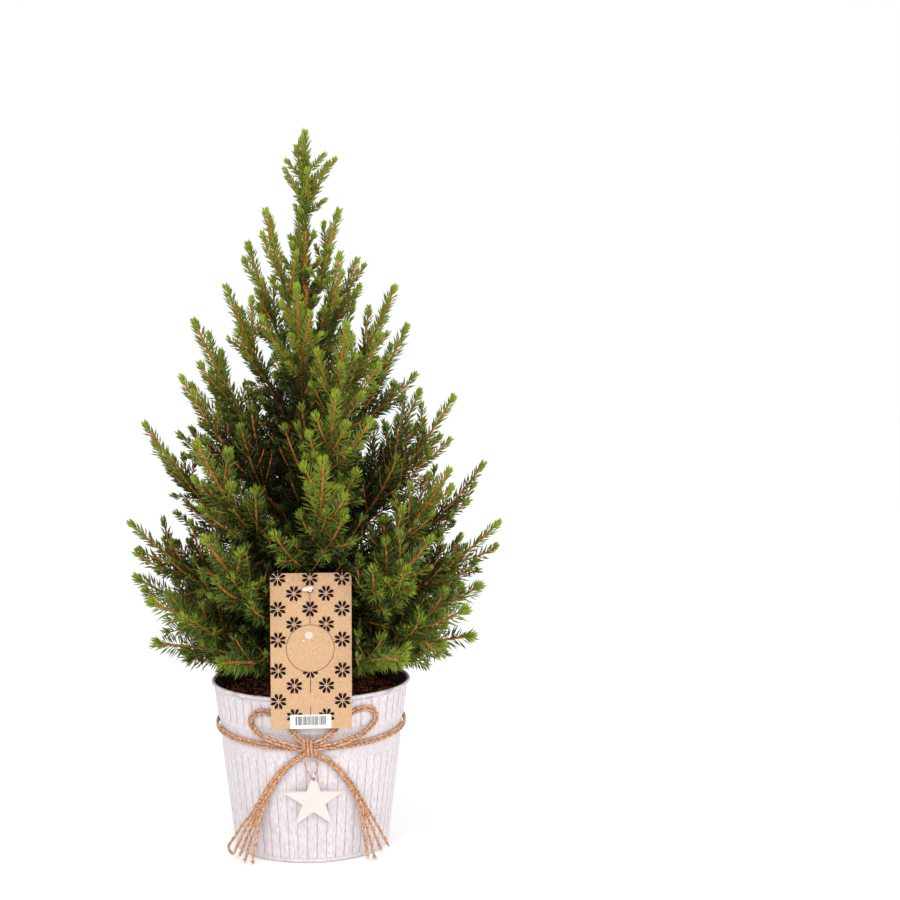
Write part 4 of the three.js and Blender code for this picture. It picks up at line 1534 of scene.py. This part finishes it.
end_tree(twine_tree, given, skin.outputs[0], True)

# %% [markdown]
# Jute is straw-coloured and hairy. Fine noise deals three straws to the plies and lifts their surface,
# and broad noise makes some stretches paler.

# %% Jute
jute, tree, shader = new_finish("jute", srgb(205, 155, 115), 0.9, 0.2)
fibre = object_noise(tree, 700, 5)
patch = object_noise(tree, 90, 2)
straw = ramp(tree, fibre, [
    (0.34, srgb(134, 86, 56)), (0.5, srgb(194, 146, 112)), (0.66, srgb(230, 190, 158))])
tone = multiply(tree, ramp(tree, patch, [(0.4, BLACK_STOP), (0.7, WHITE_STOP)]), 0.35)
tree.links.new(blend(tree, tone, straw, srgb(206, 158, 122)), shader.inputs["Base Color"])
tree.links.new(bump(tree, fibre, 0.9, 0.0004), shader.inputs["Normal"])
print("jute of", len(tree.nodes), "nodes")

# %% Lines for twine
POINTS_PER_STOP = 10
STEPS_PER_PITCH = 9


def through(stops):
    """Close points on a smooth line through the stops."""
    stops = np.asarray(stops, float)
    ends = [2 * stops[0] - stops[1], 2 * stops[-1] - stops[-2]]
    p = np.vstack([ends[0], stops, ends[1]])
    k = np.concatenate([[0], np.cumsum(np.sqrt(np.linalg.norm(np.diff(p, axis=0), axis=1)))])

    def between(a, b, ka, kb, t):
        return ((kb - t) * a + (t - ka) * b) / (kb - ka)

    rows = []
    for i in range(len(p) - 3):
        t = np.linspace(k[i + 1], k[i + 2], POINTS_PER_STOP, endpoint=False)[:, None]
        a1 = between(p[i], p[i + 1], k[i], k[i + 1], t)
        a2 = between(p[i + 1], p[i + 2], k[i + 1], k[i + 2], t)
        a3 = between(p[i + 2], p[i + 3], k[i + 2], k[i + 3], t)
        b1 = between(a1, a2, k[i], k[i + 2], t)
        b2 = between(a2, a3, k[i + 1], k[i + 3], t)
        rows.append(between(b1, b2, k[i + 1], k[i + 2], t))
    return np.concatenate(rows + [stops[-1:]])


def twine(name, lines, ply_radius, ply_offset, pitch):
    """Twine along each of several lines of points in mm."""
    points, edges = np.concatenate(lines) * MM, []
    start = 0
    for row in lines:
        edges += [(start + i, start + i + 1) for i in range(len(row) - 1)]
        start += len(row)
    sizes = {"Ply Radius": ply_radius, "Ply Offset": ply_offset,
             "Pitch": pitch, "Step": pitch / STEPS_PER_PITCH}
    return settle(grown(name, host_mesh(points, edges), twine_tree, sizes, jute))


# %% [markdown]
# ### Ring, knot, loops and tails
#
# The ring is one line that goes round the pot twice, dips a little to the front and changes from the
# lower turn to the upper one behind the knot.

# %% Ring round the pot
STRAND = 1.15
RING_HEIGHT = 88.8
RING_TILT = 0.062
RING_BACK = 0.5
RING_POINTS = 241
CROSSING = 0.05
CROSSING_LIFT = 0.2
PLY = (0.00079, 0.00036, 0.0125)
ring_radius = wall_radius(RING_HEIGHT) + CLEAR + 0.6 + STRAND


def ring_point(angle, lift):
    """A place on the tilted ring; the angle counts from the front of the pot."""
    x, y = ring_radius * math.sin(angle), -ring_radius * math.cos(angle)
    return (x, y + RING_BACK, RING_HEIGHT + RING_TILT * (y + RING_BACK) + lift)


ring_line = []
for angle in np.linspace(0, 4 * math.pi, RING_POINTS):
    lift = STRAND * (1 if angle > 2 * math.pi else -1)
    if abs(angle - 2 * math.pi) < CROSSING:
        lift *= CROSSING_LIFT
    ring_line.append(ring_point(angle, lift))
ring_line = np.array(ring_line)
ring_piece = twine("twine_ring_turns", [ring_line], *PLY)
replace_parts(ring_piece, "twine_ring")

# %% [markdown]
# The knot is three turns of the same twine, wound over the place where loops and tails cross. Under it
# lie the ends of all strands, so no gap shows through. Each loop is two strands side by side.

# %% Knot and loops of the bow
KNOT = (-1.5, 86.0)
KNOT_HALF_HEIGHT = 6.2
KNOT_HALF_DEPTH = 2.2
KNOT_TURNS = 3
KNOT_ADVANCE = 1.15
KNOT_SLANT = 0.9
KNOT_OFF = 2.1
knot_depth = ring_radius + STRAND + CLEAR + KNOT_OFF


def on_front(x, z, off):
    """A place on the front of the pot, off its ribs by a given distance."""
    return np.array([x, -math.sqrt((wall_radius(z) + RIB + off) ** 2 - x * x), z])


def loop_off(z):
    """How far a loop stands off: more where it passes over the ring."""
    return mix(3 * STRAND + 0.6, STRAND + 0.35, min(max((z - 92) / 8, 0), 1))


wind = np.linspace(0, 2 * math.pi * KNOT_TURNS, 24 * KNOT_TURNS + 1)
knot_line = np.stack([
    KNOT[0] + KNOT_ADVANCE * (wind / math.pi - KNOT_TURNS) - KNOT_SLANT * np.sin(wind),
    -knot_depth - KNOT_HALF_DEPTH * np.cos(wind),
    KNOT[1] + KNOT_HALF_HEIGHT * np.sin(wind)], axis=1)


def loop_lines(stops):
    """The two strands of one loop of the bow, side by side on the pot."""
    middle = through([on_front(x, z, loop_off(z)) for x, z in stops])
    out = unit(middle * (1, 1, 0))
    side = unit(np.cross(np.gradient(middle, axis=0), out))
    return [middle + side * STRAND * way for way in (1, -1)]


left_stops = [
    (-2.5, 85), (-9, 85.4), (-17, 87.2), (-28, 90.2), (-37.5, 94.5), (-42.3, 101), (-38.5, 107.5),
    (-30, 109.2), (-21.5, 105.5), (-14, 97.5), (-7, 90.5), (-2.5, 88)]
right_stops = [
    (-0.5, 85), (5, 85.4), (14.5, 86.6), (26, 89.6), (37, 93.8), (44.2, 100), (43.2, 107.5),
    (35, 110.2), (26.5, 107.4), (18.8, 100.5), (12, 93.5), (5, 89.6), (-0.5, 88)]
bow_lines = [knot_line] + loop_lines(left_stops) + loop_lines(right_stops)
print(len(bow_lines), "lines in the knot and its loops")

# %% [markdown]
# Below the knot the strands lie side by side as a flat bundle and then part. Two of the left ones are
# one strand folded back, so a loop hangs there in place of two ends.

# %% Tails of the bow
STRAND_STEP = 0.98
STRAND_OVER = 0.55
STRAND_UNDER = -0.35
TAIL_BULGE = 0.8
left_tail = [
    (-2.6, 83, 4.2), (-7, 79, 2.6), (-14, 74, 1.8), (-21.5, 66, 2), (-29, 55, 3), (-35, 44, 4.6)]
right_tail = [
    (-0.4, 83, 4.2), (4, 79.4, 2.6), (11, 75.5, 1.8), (19, 67, 2), (27, 56, 3), (33, 45, 4.6)]
left_ends = [(-58.6, 10, 42), (-54, 7.6, 45.5), (-50, 6, 48.5), (-46.6, 2.8, 51), (-41.5, 2, 54.5)]
right_ends = [(38.3, 4.4, 54.5), (43, 2.9, 52), (47.6, 7.4, 49), (52.6, 9.8, 46)]


def tail_lines(stops, ends):
    """The strands of a tail: a flat bundle that parts into loose ends."""
    bundle = np.array([on_front(*stop) for stop in stops])
    heading = unit(np.gradient(bundle, axis=0))
    out = unit(bundle * (1, 1, 0))
    side = np.cross(heading, out) * np.sign(stops[-1][0])
    lines = []
    for i, (x, z, depth) in enumerate(ends):
        place = i - (len(ends) - 1) / 2
        if stops[-1][0] > 0:
            place = -place
        shift = side * place * STRAND_STEP + out * (STRAND_OVER if i % 2 else STRAND_UNDER)
        end = np.array([x, -depth, z])
        strand = list(bundle[:-1] + shift[:-1] * np.linspace(0.45, 1, len(bundle) - 1)[:, None])
        strand.append(mix(bundle[-1] + shift[-1], end, 0.08))
        strand.append(mix(strand[-1], end, 0.5) + out[-1] * TAIL_BULGE)
        lines.append(through(strand + [end]))
    return lines


left_lines = tail_lines(left_tail, left_ends)
right_lines = tail_lines(right_tail, right_ends)
first, second = left_lines[:2]
fold = through([first[-1], first[-1] + (0.6, -0.8, -2.6), second[-1] + (-1.0, -0.6, -2.2), second[-1]])
folded = np.concatenate([first[:-1], fold, second[::-1][1:]])
bow_piece = twine("twine_bow_strands", bow_lines + [folded] + left_lines[2:] + right_lines, *PLY)
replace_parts(bow_piece, "twine_bow")

# %% [markdown]
# Cut jute opens at the end into fine fibres, and loose ones stand off along its whole length. A
# particle system could grow them, but particles don't survive the export. Thin spikes made with the
# tube of the twigs do.

# %% Frayed ends and stray fibres
FRAY_FIBRES = 14
FRAY_LENGTH = 3.6
FRAY_RADII = [0.22, 0.16, 0.06]
FLOOR_GAP = 0.3
STRAY_STEP = 6
STRAY_LENGTH = (1.2, 3.4)
STRAY_RADII = [0.09, 0.07, 0.04]
fibres = []
for row in left_lines[2:] + right_lines:
    heading = unit(row[-1] - row[-4])
    for _ in range(FRAY_FIBRES):
        way = unit(heading + luck.normal(0, 0.28, 3))
        start = row[-1] - heading * 1.2 + luck.normal(0, 0.45, 3)
        reach = FRAY_LENGTH * luck.uniform(0.6, 1.2)
        centres = start + way * np.linspace(0, reach, 3)[:, None]
        centres[:, 2] = np.maximum(centres[:, 2], FLOOR_GAP)
        fibres.append(tube(centres, FRAY_RADII, 3))
for row in bow_lines + left_lines + right_lines + [ring_line]:
    for place in range(2, len(row) - 4, STRAY_STEP):
        away = unit(luck.normal(0, 1, 3))
        start = row[place] + away * STRAND * 0.8
        way = unit(away + unit(row[place + 1] - row[place]) * 1.4)
        centres = start + way * np.linspace(0, 1, 3)[:, None] * luck.uniform(*STRAY_LENGTH)
        fibres.append(tube(centres, STRAY_RADII, 3))
settle(joined_piece("twine_fibres", fibres, jute))

# %% [markdown]
# ## Star and tag
#
# Both are flat cut-outs: a star sawn from 3 mm wood and a card punched from kraft board. A flat curve
# that is extruded and bevelled gives such a slab with softened edges, and inner outlines become holes.

# %% Flat cut-outs


def slab(name, outlines, thickness, softness, place, material):
    """A flat cut-out with softened edges, from closed outlines in mm; inner outlines are holes."""
    curve = bpy.data.curves.new(name, "CURVE")
    curve.dimensions = "2D"
    curve.fill_mode = "BOTH"
    curve.extrude = thickness / 2 - softness
    curve.bevel_depth = softness
    curve.bevel_resolution = 1
    curve.offset = -softness
    for outline in outlines:
        line = curve.splines.new("POLY")
        line.points.add(len(outline) - 1)
        line.points.foreach_set("co", [value for x, y in outline for value in (x, y, 0, 1)])
        line.use_cyclic_u = True
    host = bpy.data.objects.new(name, curve)
    scene.collection.objects.link(host)
    flat = bpy.data.meshes.new_from_object(host.evaluated_get(bpy.context.evaluated_depsgraph_get()))
    bpy.data.objects.remove(host)
    shape = bmesh.new()
    shape.from_mesh(flat)
    bmesh.ops.remove_doubles(shape, verts=shape.verts, dist=0.002)
    bmesh.ops.triangulate(shape, faces=shape.faces)
    bmesh.ops.recalc_face_normals(shape, faces=shape.faces)
    points = np.array([place(*vertex.co) for vertex in shape.verts]) * MM
    faces = [[vertex.index for vertex in face.verts] for face in shape.faces]
    shape.free()
    bpy.data.meshes.remove(flat)
    return mesh_piece(name, points, faces, material, smooth=False)


def circle(x, y, radius, count=24):
    """The outline of a circle."""
    return [(x + radius * math.cos(a), y + radius * math.sin(a))
            for a in 2 * np.pi * np.arange(count) / count]


# %% [markdown]
# The star hangs on a short cord before the pot, leans back against the ribs by nine degrees and is
# painted white, thinly enough that some grain shows.

# %% Star of painted wood
STAR_RADIUS = 21.5
STAR_WAIST = STAR_RADIUS * 0.385
STAR_THICK = 3
STAR_HEIGHT = 47.5
STAR_RIGHT = 1
STAR_LEAN = math.radians(90 + 9)
STAR_BACK = wall_radius(STAR_HEIGHT) + RIB + 1.2
HOLE_HEIGHT = STAR_RADIUS * 0.76
HOLE_RADIUS = 1.3


def star_place(x, y, z):
    """From the flat star, its back at z = 0, to its place before the pot."""
    return np.array([STAR_RIGHT + x, y * math.cos(STAR_LEAN) - z * math.sin(STAR_LEAN) - STAR_BACK,
                     y * math.sin(STAR_LEAN) + z * math.cos(STAR_LEAN) + STAR_HEIGHT])


def star_corner(i):
    """Corner i of ten, a point and a waist by turns."""
    radius, angle = (STAR_RADIUS if i % 2 == 0 else STAR_WAIST), math.pi / 2 + i * math.pi / 5
    return radius * math.cos(angle), radius * math.sin(angle)


white_wood, tree, shader = new_finish("white_wood", srgb(246, 234, 230), 0.6, 0.3)
grain = object_noise(tree, 150, 4, (0.2, 1, 1))
paint = ramp(tree, grain, [(0.3, srgb(213, 200, 196)), (0.6, srgb(221, 208, 205))])
tree.links.new(paint, shader.inputs["Base Color"])
tree.links.new(bump(tree, grain, 0.15, 0.0003), shader.inputs["Normal"])
star_outlines = [[star_corner(i) for i in range(10)], circle(0, HOLE_HEIGHT, HOLE_RADIUS)]
star_piece = slab("star_wood", star_outlines, STAR_THICK, 0.3,
                  lambda x, y, z: star_place(x, y, z + STAR_THICK / 2), white_wood)
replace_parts(settle(star_piece), "star")

# %% Cord of the star
CORD = (0.0003, 0.00022, 0.0042)
CORD_BEHIND = -0.85
cord_line = through([
    (-4, -69.2, 78.6), (-4.6, -68.6, 73.5), star_place(-2.4, HOLE_HEIGHT + 2.6, STAR_THICK + 1.1),
    star_place(-0.3, HOLE_HEIGHT + 0.2, STAR_THICK + 0.7), star_place(0, HOLE_HEIGHT, STAR_THICK / 2),
    star_place(0.4, HOLE_HEIGHT + 0.4, CORD_BEHIND), star_place(2, HOLE_HEIGHT + 4, CORD_BEHIND),
    (3.8, -67.2, 73.5), (1.6, -69.2, 78.6)])
cord_piece = twine("star_cord_twine", [cord_line], *CORD)
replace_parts(cord_piece, "star_cord")

# %% [markdown]
# The card is kraft board, nicked all the way up its right edge where it was torn from the next one.
# Fine noise is the pulp and broad noise its unevenness.

# %% Card of the tag
TAG_THICK = 0.8
TAG_CORNER = 3
NICK_STEP = 2.6
NICK_DEPTH = 0.45
NICK_HALF = 0.25
PIN_HOLE_RADIUS = 2.3
MIDDLE = -0.6
half = TAG_WIDTH / 2


def tag_place(x, y, z):
    """From the flat card, its foot at y = 0 and its middle at z = 0, to its place on the stake."""
    return np.array([x, TAG_FRONT + TAG_THICK / 2 - z, TAG_FOOT + y])


card_outline = [(-half, 0), (half, 0)]
for nick in np.arange(4, TAG_HEIGHT - 18, NICK_STEP):
    card_outline += [(half, nick - NICK_HALF), (half - NICK_DEPTH, nick), (half, nick + NICK_HALF)]
corner_x, corner_y = half - TAG_CORNER, TAG_HEIGHT - TAG_CORNER
corner_turn = np.radians(np.linspace(0, 90, 7))
card_outline += [(corner_x + TAG_CORNER * math.cos(a), corner_y + TAG_CORNER * math.sin(a))
                 for a in corner_turn]
card_outline += [(-corner_x - TAG_CORNER * math.sin(a), corner_y + TAG_CORNER * math.cos(a))
                 for a in corner_turn]
kraft, tree, shader = new_finish("kraft", srgb(240, 194, 156), 0.8, 0.25)
pulp = object_noise(tree, 900, 4)
cloud = object_noise(tree, 60, 2)
board = ramp(tree, pulp, [(0.3, srgb(184, 145, 110)), (0.6, srgb(200, 163, 127))])
board = blend(tree, multiply(tree, cloud, 0.3), board, srgb(191, 152, 115))
tree.links.new(board, shader.inputs["Base Color"])
tree.links.new(bump(tree, pulp, 0.2, 0.0002), shader.inputs["Normal"])
pin_hole = circle(MIDDLE, PIN_HEIGHT - TAG_FOOT, PIN_HOLE_RADIUS)
tag_piece = slab("tag_card", [card_outline, pin_hole], TAG_THICK, 0.1, tag_place, kraft)
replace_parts(settle(tag_piece), "tag")

# %% [markdown]
# ### Print on the tag
#
# The card carries an old knitting motif, an eight-petal star, repeated in half-drop, with small brown
# dots. An image would be the usual way to print; here each star is a thin layer of ink, and a tree
# stamps it on a row of points.

# %% Inks
PALER = 14


def ink(name, colour, roughness=0.6):
    """Ink of one colour, a little paler where the board took less of it."""
    material, tree, shader = new_finish(name, srgb(*colour), roughness, 0.2)
    wear = object_noise(tree, 500, 2)
    paler = tuple(min(255, value + PALER) for value in colour)
    printed_colour = ramp(tree, wear, [(0.45, srgb(*colour)), (0.8, srgb(*paler))])
    tree.links.new(printed_colour, shader.inputs["Base Color"])
    return material


black_ink = ink("ink_black", (7, 5, 5), 0.8)
brown_ink = ink("ink_brown", (168, 96, 62))
line_ink = ink("ink_line", (92, 66, 54))
pale_ink = ink("ink_pale", (214, 190, 176))
label_white = ink("label_white", (226, 227, 227))

# %% Flat layers of ink
INK_LIFT = 0.04


def fan(outline):
    """Triangles of a convex outline, as places on the card."""
    return [(outline[0], outline[i], outline[i + 1]) for i in range(1, len(outline) - 1)]


def printed(outlines, lift, shift=(0, 0)):
    """Points in metres and faces of flat outlines on the card's face, lifted by a layer's height."""
    corners = [corner for outline in outlines for triangle in fan(outline) for corner in triangle]
    points = [tag_place(x + shift[0], y + shift[1], TAG_THICK / 2 + lift) * MM for x, y in corners]
    return points, [(i, i + 1, i + 2) for i in range(0, len(corners), 3)]


def turned(outline, angle):
    """An outline turned round the origin."""
    return [(x * math.cos(angle) - y * math.sin(angle), x * math.sin(angle) + y * math.cos(angle))
            for x, y in outline]


# %% Places of the motif
MOTIF_ROWS = 10
MOTIF_COLUMNS = 5
MOTIF_COLUMN = 10.85
MOTIF_ROW = 10.55
MOTIF_TOP = 103.6
BARE_ROW = 8
RING_CENTRE = (MIDDLE, 55.4)
RING_INK_RADIUS = 16.2
ROUND_BARE = 13
card_spots = []
for row in range(MOTIF_ROWS):
    for column in range(MOTIF_COLUMNS):
        x, y = MIDDLE + (column - 2) * MOTIF_COLUMN, MOTIF_TOP - row * MOTIF_ROW
        in_ring = math.hypot(x - RING_CENTRE[0], y - RING_CENTRE[1]) < ROUND_BARE
        left_bare = column == 2 and row == BARE_ROW
        if (row + column) % 2 == 0 and not in_ring and not left_bare:
            card_spots.append((x, y))
print(len(card_spots), "motifs")

# %% Stamp the motif
DOT_RADIUS = 0.42
DOTS_OUT = 5.1
PETAL = [(0.9, 0.0), (2.4, -0.85), (4.3, -1.25), (6.0, -0.2), (4.5, 1.1), (2.6, 0.85)]

stamp_tree, given = new_tree("stamp_motif", {"Motif": ("NodeSocketObject", None)})
motif = put(stamp_tree, "GeometryNodeObjectInfo", {"Object": given["Motif"]})
stamped = put(stamp_tree, "GeometryNodeInstanceOnPoints", {
    "Points": given["Geometry"], "Instance": motif.outputs["Geometry"]})
end_tree(stamp_tree, given, stamped.outputs[0], False)


def stamp(name, outlines, lift, material):
    """A motif stamped on all its places on the card."""
    points, faces = printed(outlines, lift)
    motif_object = host_mesh([point - tag_place(0, 0, 0) * MM for point in points], faces=faces)
    spots = host_mesh([tag_place(x, y, 0) * MM for x, y in card_spots])
    piece = grown(name, spots, stamp_tree, {"Motif": motif_object}, material)
    bpy.data.objects.remove(motif_object)
    return settle(piece)


petals = [turned(PETAL, math.radians(22.5 + 45 * k)) for k in range(8)]
quarters = np.pi / 2 * np.arange(4)
small_dots = [circle(DOTS_OUT * math.cos(a), DOTS_OUT * math.sin(a), DOT_RADIUS, 8) for a in quarters]
small_dots += [circle(0, 0, DOT_RADIUS, 8)]
stamp("print_petals", petals, INK_LIFT, black_ink)
stamp("print_dots", small_dots, INK_LIFT, brown_ink)

# %% [markdown]
# A disc of kraft with a thin ring lies over the pattern, a thin line runs up and down the middle of
# the card, and a white sticker with plain bars is stuck on its foot. Each is one more layer of ink.

# %% Ring, lines and sticker
RING_SIDES = 72
LINE_WIDTH = 0.5
STICKER_WIDTH = 28
BARS_FROM = -10.8
BARS_TO = 10
BAR_WIDTH = (0.18, 0.55)
BAR_GAP = (0.22, 0.5)


def print_layer(name, outlines, lift, material):
    """Outlines printed on the card as one layer."""
    points, faces = printed(outlines, lift)
    return settle(mesh_piece(name, points, faces, material, smooth=False))


def bar(x, low, high, width):
    """The outline of an upright bar."""
    return [(x - width / 2, low), (x + width / 2, low), (x + width / 2, high), (x - width / 2, high)]


def ring_outline(centre, radius, width):
    """A thin ring, as a row of four-cornered pieces."""
    angles = 2 * np.pi * np.arange(RING_SIDES + 1) / RING_SIDES
    edge = [[(centre[0] + r * math.cos(a), centre[1] + r * math.sin(a)) for a in angles]
            for r in (radius - width / 2, radius + width / 2)]
    return [[edge[0][i], edge[1][i], edge[1][i + 1], edge[0][i + 1]] for i in range(RING_SIDES)]


print_layer("print_disc", [circle(*RING_CENTRE, RING_INK_RADIUS, 48)], 2 * INK_LIFT, kraft)
lines = ring_outline(RING_CENTRE, RING_INK_RADIUS, 0.42)
lines += [bar(MIDDLE, low, high, LINE_WIDTH) for low, high in ((72, 95), (25, 36), (9, 15.5))]
print_layer("print_lines", lines, 3 * INK_LIFT, line_ink)
print_layer("print_pale", [circle(-1.4, 64.4, 2.6), circle(-5.2, 60.7, 0.9, 12)], 4 * INK_LIFT, pale_ink)
print_layer("label", [bar(MIDDLE, 0.3, 9.8, STICKER_WIDTH)], 3 * INK_LIFT, label_white)
bars, x = [], BARS_FROM
while x < BARS_TO:
    width = luck.uniform(*BAR_WIDTH)
    bars.append(bar(x, 2.6, 8.7, width))
    x += width + luck.uniform(*BAR_GAP)
print_layer("label_bars", bars, 4 * INK_LIFT, black_ink)

# %% [markdown]
# ### Stake
#
# A moulded stake carries the card: up out of the soil, then forwards through the hole into a short
# cross-bar that keeps the card on. Its light finish lets a little light in, as thin plastic does.

# %% Stake and its cross-bar
CROSS_HALF = 4.1
CROSS_RADIUS = 1.75
CROSS_TILT = 0.2
STAKE_SIDES = 16
white_plastic, tree, shader = new_finish("white_plastic", srgb(228, 208, 192), 0.35, 0.5)
shader.inputs["Subsurface Weight"].default_value = 0.2
shader.inputs["Subsurface Scale"].default_value = 0.003
cloudy = object_noise(tree, 120, 2)
tree.links.new(range_of(tree, cloudy, 0.28, 0.45), shader.inputs["Roughness"])
stake_line = through(list(stake_stops) + [(MIDDLE, TAG_FRONT - 1.6, PIN_HEIGHT + 0.1)])
stake_skin = tube(stake_line, np.full(len(stake_line), STAKE_RADIUS), STAKE_SIDES)
cross_run = np.linspace(-1, 1, 17)
cross_centre = np.array([-2.2, TAG_FRONT - 2.0, PIN_HEIGHT + 1.2])
cross_way = np.array([math.cos(CROSS_TILT), 0, math.sin(CROSS_TILT)])
cross_line = cross_centre + cross_run[:, None] * CROSS_HALF * cross_way
cross_radii = CROSS_RADIUS * np.sqrt(np.maximum(1 - np.abs(cross_run) ** 3, 0.01))
cross_skin = tube(cross_line, cross_radii, STAKE_SIDES)
stake_piece = joined_piece("stake_smooth", [stake_skin, cross_skin], white_plastic)
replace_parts(settle(stake_piece), "tag_stake")

# %% [markdown]
# ## Floor
#
# The plant stands on white paper. A wide plane does for it, and it isn't part of the plant.

# %% Floor
floor_material, tree, shader = new_finish("floor_white", (0.995, 0.995, 0.995, 1), 0.9, 0.0)
paper = object_noise(tree, 40, 2)
tree.links.new(range_of(tree, paper, 0.85, 0.95), shader.inputs["Roughness"])
bpy.ops.mesh.primitive_plane_add(size=12, location=(0, 0, 0))
floor = bpy.context.object
floor.name = "floor"
floor.data.materials.append(floor_material)
print("floor laid")
